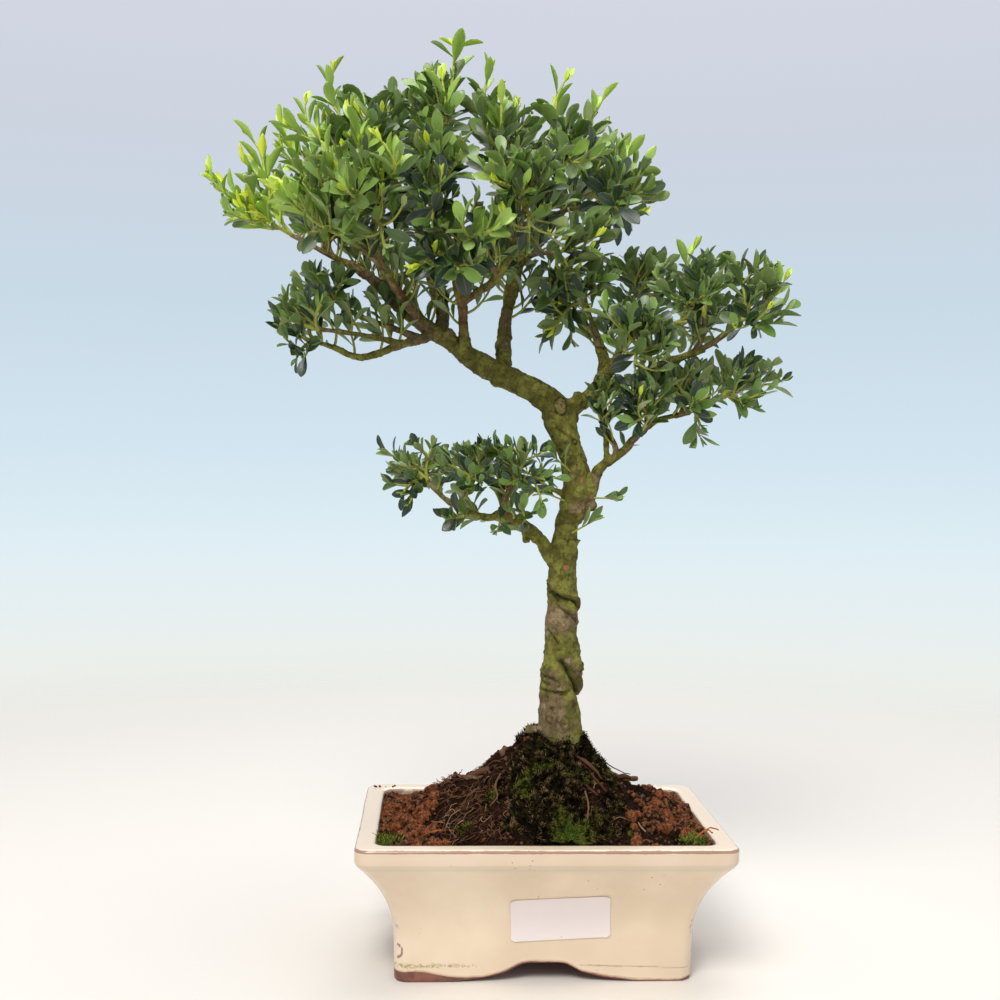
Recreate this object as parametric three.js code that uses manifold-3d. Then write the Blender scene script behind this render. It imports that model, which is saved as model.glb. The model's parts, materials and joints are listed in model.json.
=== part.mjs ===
// Japanese holly bonsai in a cream glazed bowl. Millimetres, +Z up, seen from -Y.
import * as THREE from 'three';
import { mergeVertices } from 'three/addons/utils/BufferGeometryUtils.js';
import Module from 'manifold-3d';

const wasm = await Module();
wasm.setup();

// Driving dimensions, in millimetres unless a name says otherwise
const CLEARANCE = 0.3;
const FINEST = 0.03;

const POT_WIDTH = 190;
const POT_DEPTH = 134;
const POT_HEIGHT = 72;
const POT_CORNER_RADIUS = 7;
const POT_WALL = 7;
const RIM_FACE = 9;
const RIM_BAND = 8;
const COVE_DEPTH = 17.5;
const COVE_FOOT_Z = 22;
const FOOT_INSET = 19;
const FLOOR_Z = 16;
const ARCH_HEIGHT = 9.5;
const ARCH_HALF_TOP = 9;
const ARCH_HALF_WIDTH = { front: 48, side: 30 };
const DRAIN_RADIUS = 6;
const DRAIN_SPACING = 70;

const LABEL_WIDTH = 50;
const LABEL_HEIGHT = 22.4;
const LABEL_THICKNESS = 0.6;
const LABEL_CORNER = 2;
const LABEL_CENTRE = { x: 7.6, z: 33 };
const LABEL_TILT = THREE.MathUtils.degToRad(2.8);

const SOIL_EDGE_Z = 65;
const SOIL_BELOW_RIM = 2;
const MOUND_PEAK_Z = 112;
const MOUND_SLOPE = 0.62;
const MOUND_CENTRE = { x: 4, y: 0 };
const MOUND_DEPTH_STRETCH = 1.2;
const MOUND_PEAK_ROUNDING = 6;
const MOUND_FOOT_ROUNDING = 4;
const SOIL_UNEVEN = 0.8;
const GRAIN_RADIUS = { small: 2.6, large: 4.4 };
const GRAIN_COUNT = 22;
const GRAIN_REACH = { from: 52, to: 79, back: 48 };
const MOSS_CENTRE = { x: 2, y: -33 };
const MOSS_HALF_WIDTH = 21;
const MOSS_HALF_DEPTH = 23;
const MOSS_THICKNESS = 5.5;
const MOSS_EDGE = 1.2;
const MOSS_ROOT = 6;

const STUMP_BOTTOM_Z = 88;
const STEM_SIDES = 9;
const ROOT_SIDES = 4;
const STOUT_LIMB = 3.9;
const WOOD_TWIG_RADIUS = 1.2;
const SHOOT_RADIUS = 0.9;
const LEAF_LENGTH = 18;
const LEAF_WIDTH = 9.6;
const YOUNG_LEAF_LENGTH = 11;
const YOUNG_LEAF_WIDTH = 5.5;
const BLADE_THICKNESS = 0.7;
const LEAF_FOOT = 1.4;
const GOLDEN_ANGLE = THREE.MathUtils.degToRad(137.5);

// Trunk: centre x, height and radius, from the soil up to the fork
const TRUNK = [
  [11.7, 101, 13.4], [11.7, 109.5, 13.2], [10.9, 121.9, 11.8], [10, 130, 11.1], [8.5, 138.1, 9.4],
  [10.6, 144.6, 11.5], [11.1, 154.9, 9.8], [11.8, 160.3, 10.1], [10.8, 168.4, 8.8], [11.2, 184.5, 8.7],
  [10.8, 202.9, 7.4], [11.4, 213.6, 7.5], [12.4, 222.3, 6.4], [13.1, 230.3, 6.2], [15.7, 237.4, 7.2],
  [18.3, 244.4, 8], [18.1, 253.5, 7.5], [16.4, 262.1, 7.2], [13, 271.7, 7.2], [9.6, 281.3, 8.6],
  [8, 290.9, 9.2], [8, 296, 6],
];
const STUMP_FOOT = [TRUNK[0][0], STUMP_BOTTOM_Z, TRUNK[0][2]];

// Limbs and bare branches: x, y, z and radius along each
const LIMBS = {
  left_limb: [[8, 0, 290, 7], [-1, -1, 297, 6.7], [-11, -2, 302, 6.4], [-30, -1, 311, 5.9],
    [-40, 0, 317, 5.4],
    [-49, 2, 324, 4.6], [-59, 3, 330, 4.3], [-78, 4, 344, 3.8], [-96, 1, 360, 2.7],
    [-119, -5, 371, 1.4]],
  rear_leader: [[-56, 4, 329, 3.8], [-55, 9, 341, 3.8], [-58, 14, 351, 3.6], [-63, 20, 367, 3],
    [-68, 24, 386, 2.5],
    [-73, 26, 403, 1.8]],
  upright_a: [[-22, 2, 313, 4.3], [-22, 6, 330, 3.8], [-20, 10, 344, 3.3], [-16, 14, 356, 2.5],
    [-13, 18, 372, 2.1],
    [-9, 22, 389, 1.7]],
  upright_b: [[-43, -3, 320, 2.9], [-44, -7, 330, 2.4], [-45, -11, 342, 2.4], [-48, -15, 351, 2.1],
    [-54, -20, 380, 1.6]],
  upright_b_side: [[-45, -12, 345, 2.1], [-36, -18, 350, 2.1], [-26, -25, 358, 1.8],
    [-18, -33, 377, 1.3]],
  front_left: [[-66, 3, 335, 2.8], [-76, -14, 346, 2.4], [-88, -28, 362, 1.8]],
  rear_left: [[-84, 3, 349, 3], [-90, 22, 370, 2.4], [-98, 40, 392, 1.7]],
  rear_right: [[-20, 10, 344, 2.9], [-17, 26, 368, 2.4], [-10, 38, 396, 1.8]],
  rear_right_side: [[-17, 26, 368, 2.2], [0, 36, 386, 1.8], [12, 42, 404, 1.5]],
  left_low: [[-59, 3, 330, 2.9], [-66, -1, 326, 2.5], [-76, -5, 323, 2.2], [-97, -12, 315, 1.9],
    [-113, -16, 320, 1.4]],
  left_low_upper: [[-66, -1, 326, 2.2], [-81, -7, 331, 1.7], [-99, -12, 336, 1.3]],
  left_low_outer: [[-76, -5, 323, 1.9], [-90, -16, 325, 1.4], [-108, -23, 327, 1.2]],
  right_limb: [[12, 0, 290, 5.1], [19, -2, 294, 4.5], [25, -4, 298, 4.3], [34, -6, 311, 3.4],
    [40, -7, 316, 2.4]],
  right_a: [[30, -4, 305, 3.1], [32, 3, 317, 3], [30, 6, 325, 2.8], [26, 5, 336, 1.8]],
  right_b: [[29, -5, 301, 3.1], [39, -11, 303, 2.6], [59, -17, 313, 2.3], [82, -20, 322, 1.8]],
  right_d: [[36, -6, 312, 2.4], [41, 8, 323, 1.8], [50, 16, 340, 1.4]],
  lower_right: [[17, 0, 236, 4], [24, -2, 242, 3.5], [29, -6, 258, 2.9], [40, -10, 267, 2.2],
    [56, -14, 283, 1.7],
    [76, -13, 289, 1.3]],
  lower_left: [[11, 0, 202, 4], [3, -2, 212, 3.5], [-1, -4, 220, 3.3], [-12, -8, 229, 2.9],
    [-23, -11, 234, 2.4],
    [-30, -12, 232, 2.1], [-47, -14, 237, 1.6]],
  trunk_spur: [[14, 0, 244, 3], [8, 3, 246, 1.6]],
  cut_stub_left: [[-42, 1, 320, 3.4], [-44, 5, 332, 2.6]],
  cut_stub_under: [[-10, -7, 228, 2.4], [-9, -8, 219, 1.9]],
};

// Burls on the trunk: x, y, z and radius
const BURLS = [[18, -4, 153, 6.5], [16, -7, 137, 4.5], [20, 4, 246, 5]];

// Roots that lie in the surface of the mound
const ROOTS = {
  left: [[4, -2, 104, 5], [-14, -6, 98, 3], [-30, -5, 92, 2], [-44, -3, 93, 1.5]],
  knob: [[4, 2, 103, 5], [-11, 4, 102, 3.2], [-20, 5, 106, 2.6]],
  right: [[18, 0, 103, 5], [36, 4, 94, 2.6], [46, 6, 90, 1.8], [55, 6, 90, 1.4]],
  front: [[15, -6, 104, 4], [26, -14, 97, 2.2], [34, -20, 89, 1.8], [40, -23, 83, 1.5]],
  back: [[10, 6, 104, 5], [0, 22, 93, 2.8], [-8, 36, 80, 1.8]],
  back_right: [[16, 6, 104, 4], [30, 20, 93, 2.4], [40, 32, 81, 1.6]],
};

// Leafy sprays: the limb that carries each, where it forks, and the tips of its twigs
const SPRAYS = {
  crown_far_left: ['left_limb', [-135, -6, 379], [[-169, -10, 401], [-150, -26, 386], [-151, -2, 419]]],
  crown_left_back: ['left_limb', [-121, 14, 388], [[-146, 26, 409], [-134, 34, 387], [-137, 12, 428]]],
  crown_left_front: ['front_left', [-114, -44, 376], [[-131, -50, 390], [-111, -60, 397],
    [-106, -62, 369]]],
  crown_left_top: ['left_limb', [-104, -4, 401], [[-125, -6, 435], [-114, 6, 449], [-98, -28, 419]]],
  crown_rear_left: ['rear_left', [-109, 54, 410], [[-138, 62, 428], [-119, 50, 442], [-104, 78, 426]]],
  crown_mid_left: ['rear_leader', [-85, 10, 416], [[-98, 8, 451], [-84, 14, 458], [-93, -18, 434]]],
  crown_front_left: ['front_left', [-90, -46, 383], [[-99, -72, 389], [-80, -68, 400],
    [-84, -64, 364]]],
  crown_peak: ['rear_leader', [-63, 14, 428], [[-67, 4, 459], [-52, 0, 462], [-55, -24, 440]]],
  crown_rear_mid: ['rear_leader', [-69, 48, 421], [[-87, 50, 448], [-58, 46, 458], [-71, 80, 429]]],
  crown_front_mid: ['upright_b', [-57, -38, 394], [[-67, -58, 411], [-50, -66, 404], [-61, -70, 376]]],
  crown_front_low: ['upright_b_side', [-43, -40, 366], [[-66, -54, 357], [-48, -66, 352],
    [-33, -74, 370]]],
  crown_mid_right: ['upright_a', [-22, 8, 414], [[-34, 6, 454], [-18, 10, 451], [-27, -22, 430]]],
  crown_front_right: ['upright_b_side', [-15, -42, 388], [[-29, -68, 395], [-11, -62, 404],
    [-14, -60, 368]]],
  crown_rear_right: ['rear_right', [-12, 48, 423], [[-29, 46, 449], [4, 52, 446], [-10, 78, 427]]],
  crown_right_top: ['upright_a', [5, 8, 415], [[4, 4, 450], [23, 6, 446], [9, -28, 418]]],
  crown_right: ['upright_a', [25, 12, 402], [[44, 8, 428], [51, -2, 407], [33, -28, 393]]],
  crown_right_low: ['upright_a', [4, -8, 372], [[21, -10, 381], [10, -22, 361], [-2, 6, 352]]],
  crown_rear_far_right: ['rear_right_side', [22, 46, 415], [[36, 38, 438], [39, 54, 412],
    [19, 70, 407]]],
  right_upper_near: ['right_a', [22, 2, 347], [[9, 6, 353], [4, -12, 333], [24, -18, 356],
    [16, 22, 330]]],
  right_upper_mid: ['right_d', [54, 18, 353], [[42, 8, 366], [58, 22, 371], [46, 42, 348],
    [68, 44, 360]]],
  right_upper_front: ['right_b', [46, -34, 320], [[33, -46, 331], [50, -48, 335], [41, -48, 309]]],
  right_upper_far: ['right_b', [81, -22, 338], [[74, -14, 360], [88, -6, 367], [64, -36, 345]]],
  right_upper_end: ['right_b', [101, -21, 337], [[100, -14, 364], [116, -22, 349], [104, -38, 331]]],
  right_upper_back: ['right_d', [74, 28, 341], [[94, 30, 359], [86, 44, 335], [106, 12, 351]]],
  right_lower_stem: ['lower_right', [33, -9, 278], [[31, -6, 301], [26, -18, 290]]],
  right_lower_near: ['lower_right', [53, -24, 287], [[46, -30, 299], [60, -4, 304], [43, -40, 282]]],
  right_lower_mid: ['lower_right', [72, -18, 294], [[64, -24, 307], [85, -6, 310], [77, -36, 281],
    [73, 13, 299]]],
  right_lower_end: ['lower_right', [94, -10, 298], [[104, -12, 313], [121, -6, 308], [101, -26, 293],
    [95, 12, 309]]],
  left_lower_near: ['lower_left', [-17, -17, 251], [[-10, -22, 267], [-24, -8, 268], [-5, -30, 253],
    [-16, 14, 258]]],
  left_lower_mid: ['lower_left', [-40, -18, 249], [[-34, -20, 267], [-50, -12, 265], [-42, -46, 252],
    [-34, 18, 257]]],
  left_lower_end: ['lower_left', [-62, -14, 251], [[-60, -10, 268], [-76, -8, 261], [-74, -26, 245],
    [-59, 16, 252]]],
  left_low_end: ['left_low', [-121, -18, 322], [[-136, -16, 329], [-129, -28, 313], [-124, -10, 338]]],
  left_low_inner: ['left_low_upper', [-111, -12, 344], [[-121, -14, 353], [-107, -32, 350],
    [-118, 6, 345]]],
  left_low_thin: ['left_low_outer', [-118, -30, 327], [[-132, -36, 332], [-116, -44, 338]]],
  trunk_shoot: ['trunk_spur', [2, 6, 249], [[-1, 2, 261], [-8, 6, 243]]],
};

// New shoots in lime green: the spray and the twig of it that each grows on, and its tip
const NEW_SHOOTS = {
  new_shoot_far_left: ['crown_far_left', 0, [-177, -12, 406]],
  new_shoot_left: ['crown_far_left', 2, [-158, 0, 431]],
  new_shoot_left_back: ['crown_left_back', 2, [-143, 12, 441]],
  new_shoot_left_front: ['crown_left_front', 1, [-115, -62, 414]],
  new_shoot_left_top: ['crown_left_top', 0, [-129, -4, 447]],
  new_shoot_tall: ['crown_left_top', 1, [-116, 8, 468]],
  new_shoot_mid_left: ['crown_left_top', 2, [-103, -32, 436]],
  new_shoot_front: ['crown_front_left', 1, [-85, -74, 411]],
  new_shoot_peak: ['crown_peak', 1, [-51, 0, 482]],
  new_shoot_peak_front: ['crown_peak', 2, [-57, -30, 454]],
  new_shoot_mid_right: ['crown_mid_right', 0, [-32, 6, 470]],
  new_shoot_right_front: ['crown_mid_right', 2, [-27, -30, 443]],
  new_shoot_right_top: ['crown_right_top', 0, [8, 4, 465]],
  new_shoot_right: ['crown_right_top', 1, [29, 6, 457]],
  new_shoot_pad_top: ['right_upper_far', 0, [76, -14, 374]],
  new_shoot_pad_end: ['right_upper_end', 1, [122, -24, 357]],
  new_shoot_rear: ['crown_rear_mid', 0, [-92, 52, 461]],
};

// Repeatable random numbers from 0 to 1
function seeded(seed) {
  let state = seed;
  return () => {
    state = (state * 1664525 + 1013904223) % 4294967296;
    return state / 4294967296;
  };
}

const vec = (x, y, z) => new THREE.Vector3(x, y, z);

// A closed solid from a three.js geometry
function solidFrom(geometry) {
  const bare = geometry.clone();
  bare.deleteAttribute('normal');
  bare.deleteAttribute('uv');
  const merged = mergeVertices(bare, 1e-4);
  return new wasm.Manifold(new wasm.Mesh({
    numProp: 3,
    vertProperties: new Float32Array(merged.attributes.position.array),
    triVerts: new Uint32Array(merged.index.array),
  }));
}

function geometryFrom(solid) {
  const mesh = solid.getMesh();
  const geometry = new THREE.BufferGeometry();
  geometry.setAttribute('position', new THREE.BufferAttribute(new Float32Array(mesh.vertProperties), 3));
  geometry.setIndex(new THREE.BufferAttribute(new Uint32Array(mesh.triVerts), 1));
  geometry.computeVertexNormals();
  return geometry;
}

// The largest of the loose bodies of a solid, without slivers thinner than the finest detail
function mainBody(solid) {
  const bodies = solid.simplify(FINEST).decompose();
  return bodies.reduce((best, body) => (body.volume() > best.volume() ? body : best));
}

// A closed surface through rings of points, with flat ends
function loft(rings) {
  const count = rings[0].length;
  const positions = rings.flat().flatMap((p) => [p.x, p.y, p.z]);
  const index = [];
  for (let r = 0; r + 1 < rings.length; r += 1) {
    for (let i = 0; i < count; i += 1) {
      const a = r * count + i;
      const b = r * count + ((i + 1) % count);
      index.push(a, b, b + count, a, b + count, a + count);
    }
  }
  const last = (rings.length - 1) * count;
  for (let i = 1; i + 1 < count; i += 1) {
    index.push(0, i + 1, i);
    index.push(last, last + i, last + i + 1);
  }
  const geometry = new THREE.BufferGeometry();
  geometry.setAttribute('position', new THREE.Float32BufferAttribute(positions, 3));
  geometry.setIndex(index);
  return solidFrom(geometry);
}

// A tapering round branch through points, with flat ends
function branch(points, radii, sides) {
  const rings = [];
  let side = null;
  points.forEach((point, i) => {
    const ahead = points[Math.min(i + 1, points.length - 1)];
    const behind = points[Math.max(i - 1, 0)];
    const along = ahead.clone().sub(behind).normalize();
    if (!side) side = Math.abs(along.z) > 0.9 ? vec(1, 0, 0) : vec(0, 0, 1);
    side = side.clone().addScaledVector(along, -side.dot(along)).normalize();
    const across = along.clone().cross(side);
    rings.push(Array.from({ length: sides }, (_, k) => {
      const angle = (k / sides) * 2 * Math.PI;
      return point.clone()
        .addScaledVector(side, Math.cos(angle) * radii[i])
        .addScaledVector(across, Math.sin(angle) * radii[i]);
    }));
  });
  return loft(rings);
}

function branchFrom(rows, sides, extra = 0) {
  return branch(rows.map(([x, y, z]) => vec(x, y, z)), rows.map((row) => row[3] + extra), sides);
}

const join = (solids) => wasm.Manifold.union(solids);

// A rounded rectangle at height z, set in from the rim's outline
function roundedRing(inset, z, cornerSteps, sideSteps) {
  const halfX = POT_WIDTH / 2 - inset;
  const halfY = POT_DEPTH / 2 - inset;
  const ring = [];
  for (let corner = 0; corner < 4; corner += 1) {
    const signX = corner === 0 || corner === 3 ? 1 : -1;
    const signY = corner < 2 ? 1 : -1;
    for (let i = 0; i <= cornerSteps; i += 1) {
      const angle = (corner + i / cornerSteps) * (Math.PI / 2);
      ring.push(vec(
        signX * (halfX - POT_CORNER_RADIUS) + POT_CORNER_RADIUS * Math.cos(angle),
        signY * (halfY - POT_CORNER_RADIUS) + POT_CORNER_RADIUS * Math.sin(angle),
        z,
      ));
    }
    const from = ring[ring.length - 1].clone();
    const nextX = corner === 0 || corner === 2 ? -from.x : from.x;
    const nextY = corner === 0 || corner === 2 ? from.y : -from.y;
    for (let i = 1; i <= sideSteps; i += 1) {
      ring.push(from.clone().lerp(vec(nextX, nextY, z), i / (sideSteps + 1)));
    }
  }
  return ring;
}

// Outside of the bowl: inset from the rim's outline at each height, foot to rim
const COVE_TOP_Z = POT_HEIGHT - RIM_BAND - 2;
const coveInset = (z) => {
  const rise = Math.max(0, (z - COVE_FOOT_Z) / (COVE_TOP_Z - COVE_FOOT_Z));
  return FOOT_INSET - COVE_DEPTH * rise * rise;
};
const COVE_STEPS = [0, 0.26, 0.48, 0.66, 0.84, 1];
const COVE_HEIGHTS = COVE_STEPS.map((t) => THREE.MathUtils.lerp(COVE_FOOT_Z, COVE_TOP_Z, t));
const OUTER_PROFILE = [
  [FOOT_INSET + 0.6, 0],
  ...COVE_HEIGHTS.map((z) => [coveInset(z), z]),
  [0.3, COVE_TOP_Z + 1.6],
  [0, COVE_TOP_Z + 3],
  [0, POT_HEIGHT - 1.6],
  [1.8, POT_HEIGHT],
];

// Inset of the facets of the outside at a height
function facetInset(z) {
  const top = OUTER_PROFILE.findIndex((row) => row[1] >= z);
  const [insetA, zA] = OUTER_PROFILE[top - 1];
  const [insetB, zB] = OUTER_PROFILE[top];
  return insetA + ((insetB - insetA) * (z - zA)) / (zB - zA);
}

// Inside of the bowl, rim to floor
const MOUTH_INSET = RIM_FACE + 1.4;
const INNER_PROFILE = [
  [RIM_FACE, POT_HEIGHT],
  [MOUTH_INSET, POT_HEIGHT - 1.4],
  [MOUTH_INSET, COVE_TOP_Z],
  ...COVE_HEIGHTS.slice(0, -1).reverse().map((z) => [coveInset(z) + POT_WALL, z]),
  [FOOT_INSET + POT_WALL + 1.5, FLOOR_Z],
];

// The bracket-shaped opening between two feet, cut right through below the floor
function archCut(halfWidth, length, alongX) {
  const shape = new THREE.Shape();
  shape.moveTo(-halfWidth, -1);
  shape.lineTo(-halfWidth, 0);
  shape.quadraticCurveTo(-halfWidth * 0.5, ARCH_HEIGHT * 0.2, -halfWidth * 0.35, ARCH_HEIGHT * 0.62);
  shape.quadraticCurveTo(-ARCH_HALF_TOP - 2, ARCH_HEIGHT, -ARCH_HALF_TOP, ARCH_HEIGHT);
  shape.lineTo(ARCH_HALF_TOP, ARCH_HEIGHT);
  shape.quadraticCurveTo(ARCH_HALF_TOP + 2, ARCH_HEIGHT, halfWidth * 0.35, ARCH_HEIGHT * 0.62);
  shape.quadraticCurveTo(halfWidth * 0.5, ARCH_HEIGHT * 0.2, halfWidth, 0);
  shape.lineTo(halfWidth, -1);
  const options = { depth: length, bevelEnabled: false, curveSegments: 4 };
  const geometry = new THREE.ExtrudeGeometry(shape, options);
  geometry.translate(0, 0, -length / 2);
  geometry.rotateX(Math.PI / 2);
  if (alongX) geometry.rotateZ(Math.PI / 2);
  return solidFrom(geometry);
}

function drainHole(x) {
  const geometry = new THREE.CylinderGeometry(DRAIN_RADIUS, DRAIN_RADIUS, FLOOR_Z * 3, 16);
  geometry.rotateX(Math.PI / 2);
  geometry.translate(x, 0, FLOOR_Z);
  return solidFrom(geometry);
}

function pot() {
  const rings = [...OUTER_PROFILE, ...INNER_PROFILE].map(([inset, z]) => roundedRing(inset, z, 2, 0));
  return loft(rings)
    .subtract(archCut(ARCH_HALF_WIDTH.front, POT_DEPTH, false))
    .subtract(archCut(ARCH_HALF_WIDTH.side, POT_WIDTH, true))
    .subtract(drainHole(-DRAIN_SPACING / 2))
    .subtract(drainHole(DRAIN_SPACING / 2));
}

// Blank paper label, bent to the front of the bowl
function label() {
  const onFront = (across, up, outward) => {
    const x = LABEL_CENTRE.x + across * Math.cos(LABEL_TILT) - up * Math.sin(LABEL_TILT);
    const z = LABEL_CENTRE.z + across * Math.sin(LABEL_TILT) + up * Math.cos(LABEL_TILT);
    return vec(x, -(POT_DEPTH / 2 - facetInset(z)) - outward, z);
  };
  const rows = [-1, -0.94, -0.82, -0.5, -0.15, 0.2, 0.5, 0.82, 0.94, 1].map((t) => {
    const up = (t * LABEL_HEIGHT) / 2;
    const intoCorner = Math.max(0, Math.abs(up) - (LABEL_HEIGHT / 2 - LABEL_CORNER));
    const half = LABEL_WIDTH / 2 - LABEL_CORNER + Math.sqrt(LABEL_CORNER ** 2 - intoCorner ** 2);
    return [
      onFront(-half, up, CLEARANCE),
      onFront(-half, up, CLEARANCE + LABEL_THICKNESS),
      onFront(half, up, CLEARANCE + LABEL_THICKNESS),
      onFront(half, up, CLEARANCE),
    ];
  });
  return loft(rows);
}

// Height of the soil: a mound up to the trunk, with an uneven surface
function soilHeight(x, y) {
  const reach = Math.hypot(x - MOUND_CENTRE.x, (y - MOUND_CENTRE.y) * MOUND_DEPTH_STRETCH);
  const mound = MOUND_PEAK_Z - MOUND_SLOPE * Math.hypot(reach, MOUND_PEAK_ROUNDING);
  const rise = mound - SOIL_EDGE_Z;
  const blended = SOIL_EDGE_Z + (rise + Math.hypot(rise, MOUND_FOOT_ROUNDING)) / 2;
  const uneven = Math.sin(x * 0.33 + 1) * Math.cos(y * 0.29) + 0.6 * Math.sin(x * 0.71 - y * 0.53);
  return blended + SOIL_UNEVEN * uneven;
}

// A rough grain of fired clay, half sunk in the soil
function grain(x, y, radius, random) {
  const geometry = new THREE.OctahedronGeometry(radius, 0);
  geometry.scale(1, 0.8 + 0.3 * random(), 0.75);
  geometry.rotateZ(random() * Math.PI);
  geometry.rotateX((random() - 0.5) * 0.8);
  geometry.translate(x, y, soilHeight(x, y) + radius * 0.15);
  return solidFrom(geometry);
}

function soil(buriedWood) {
  const edge = (inset, z) => roundedRing(inset + CLEARANCE, z, 2, 5);
  const walls = INNER_PROFILE.slice(2).reverse();
  const sides = walls.map(([inset, z], i) => edge(inset, i === 0 ? z + CLEARANCE : z));
  const brim = edge(MOUTH_INSET, 0);
  const steps = [1, 0.86, 0.72, 0.58, 0.44, 0.3, 0.15, 0.02];
  const top = steps.map((t) => brim.map((p) => {
    const x = p.x * t + MOUND_CENTRE.x * (1 - t);
    const y = p.y * t + MOUND_CENTRE.y * (1 - t);
    const z = t === 1 ? Math.min(soilHeight(x, y), POT_HEIGHT - SOIL_BELOW_RIM) : soilHeight(x, y);
    return vec(x, y, z);
  }));
  const random = seeded(11);
  const grains = [];
  for (let i = 0; i < GRAIN_COUNT; i += 1) {
    const side = i % 2 === 0 ? -1 : 1;
    const x = side * THREE.MathUtils.lerp(GRAIN_REACH.from, GRAIN_REACH.to, random());
    const y = GRAIN_REACH.back * (2 * random() - 1);
    const radius = THREE.MathUtils.lerp(GRAIN_RADIUS.small, GRAIN_RADIUS.large, random() ** 2);
    grains.push(grain(x, y, radius, random));
  }
  const filled = join([loft([...sides, ...top]), ...grains]);
  return mainBody(filled.subtract(buriedWood));
}

// Cushion of moss that runs down the front of the mound
function moss(soilSolid, buriedWood) {
  const rings = [];
  const sectors = 16;
  const tiers = [1, 0.97, 0.8, 0.5, 0.05];
  for (const [tier, t] of tiers.entries()) {
    rings.push(Array.from({ length: sectors }, (_, k) => {
      const angle = (k / sectors) * 2 * Math.PI;
      const wave = 1 + 0.06 * Math.sin(angle * 3 + 1);
      const x = MOSS_CENTRE.x + MOSS_HALF_WIDTH * t * wave * Math.cos(angle);
      const y = MOSS_CENTRE.y + MOSS_HALF_DEPTH * t * wave * Math.sin(angle);
      const swell = tier === 0 ? -MOSS_ROOT : MOSS_THICKNESS * Math.sqrt(1 - t * t) + MOSS_EDGE;
      return vec(x, y, soilHeight(x, y) + swell);
    }));
  }
  const dome = loft(rings);
  return mainBody(dome.subtract(soilSolid.translate([0, 0, CLEARANCE])).subtract(buriedWood));
}

// Point on a curve with one bend
function alongBend(start, bend, end, t) {
  return start.clone().multiplyScalar((1 - t) ** 2)
    .addScaledVector(bend, 2 * t * (1 - t))
    .addScaledVector(end, t * t);
}

function bendPoints(start, bend, end, steps) {
  return Array.from({ length: steps + 1 }, (_, i) => alongBend(start, bend, end, i / steps));
}

// Where a spray's bare twig leaves its limb: behind the point nearest to the fork, so that it leans forward
function leavingPoint(rows, fork) {
  const points = rows.map(([x, y, z]) => vec(x, y, z));
  let nearest = 0;
  points.forEach((p, i) => {
    if (p.distanceTo(fork) < points[nearest].distanceTo(fork)) nearest = i;
  });
  const from = Math.max(nearest - 1, 0);
  const start = points[from].clone().lerp(points[nearest], from === nearest ? 0 : 0.6);
  const next = points[Math.min(from + 1, points.length - 1)];
  const direction = next.clone().sub(points[from]).normalize();
  return { start, direction, radius: rows[nearest][3] };
}

// The bare twig of a spray, from its limb to the fork
function bareTwig([limb, fork]) {
  const end = vec(...fork);
  const { start, direction, radius } = leavingPoint(LIMBS[limb], end);
  const reach = start.distanceTo(end);
  const bend = start.clone().addScaledVector(direction, reach * 0.45);
  const points = bendPoints(start, bend, end, reach > 40 ? 3 : 2);
  const thick = Math.min(radius, 2.2);
  const radii = points.map((_, i) => thick + (WOOD_TWIG_RADIUS - thick) * (i / (points.length - 1)));
  const heading = end.clone().sub(points[points.length - 2]).normalize();
  return { solid: branch(points, radii, 3), end, heading };
}

function burl([x, y, z, radius]) {
  const geometry = new THREE.IcosahedronGeometry(radius, 0);
  geometry.scale(0.8, 0.8, 1.2);
  geometry.translate(x, y, z);
  return solidFrom(geometry);
}

function wood(twigs) {
  const stem = branchFrom([STUMP_FOOT, ...TRUNK].map(([x, z, r]) => [x, 0, z, r]), STEM_SIDES);
  const limbs = Object.values(LIMBS).map((rows) => branchFrom(rows, rows[0][3] > STOUT_LIMB ? 5 : 4));
  const roots = Object.values(ROOTS).map((rows) => branchFrom(rows, ROOT_SIDES));
  const burls = BURLS.map(burl);
  return mainBody(join([stem, ...burls, ...limbs, ...roots, ...twigs.map((twig) => twig.solid)]));
}

// The part of the wood that the soil and the moss make room for, a clearance larger all round
function woodInSoil() {
  const grow = CLEARANCE * 1.3;
  const [footX, footZ, footRadius] = STUMP_FOOT;
  const rows = [[footX, footZ - CLEARANCE, footRadius], ...TRUNK.slice(0, 3)];
  const stump = branchFrom(rows.map(([x, z, r]) => [x, 0, z, r]), STEM_SIDES, grow);
  const roots = Object.values(ROOTS).map((root) => {
    const last = root[root.length - 1];
    const before = root[root.length - 2];
    const tip = vec(...last.slice(0, 3));
    tip.addScaledVector(tip.clone().sub(vec(...before.slice(0, 3))).normalize(), grow);
    return branchFrom([...root.slice(0, -1), [tip.x, tip.y, tip.z, last[3]]], ROOT_SIDES, grow * 1.4);
  });
  return join([stump, ...roots]);
}

// A leaf's outline: how far along it, how much of the half width, and how high the blade arches there
const BLADE_STATIONS = [[0.36, 0.82, 0.16], [0.74, 0.86, 0.1], [1, 0, -0.2]];
const BLADE_CORNERS = [[-1, -1], [1, -1], [1, 1], [-1, 1]];

// One cross-section of a blade, lower left, lower right, upper right and upper left
function bladeSection(leaf, [along, aside, arch]) {
  const half = leaf.width / 2;
  return BLADE_CORNERS.map(([left, up]) => leaf.root.clone()
    .addScaledVector(leaf.heading, along * leaf.length)
    .addScaledVector(leaf.normal, arch * half + (up * BLADE_THICKNESS) / 2)
    .addScaledVector(leaf.across, left * aside * half));
}

// The blade on its own, from a first section outwards, to find what it would touch
function looseBlade(leaf, first) {
  const last = bladeSection(leaf, [1, 0.04, -0.2]);
  return loft([first, ...BLADE_STATIONS.slice(0, 2).map((row) => bladeSection(leaf, row)), last]);
}

// What already stands, so that nothing crosses it
const standing = [];

function boxesMeet(a, b) {
  return [0, 1, 2].every((i) => a.min[i] - 1 <= b.max[i] && b.min[i] - 1 <= a.max[i]);
}

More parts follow.
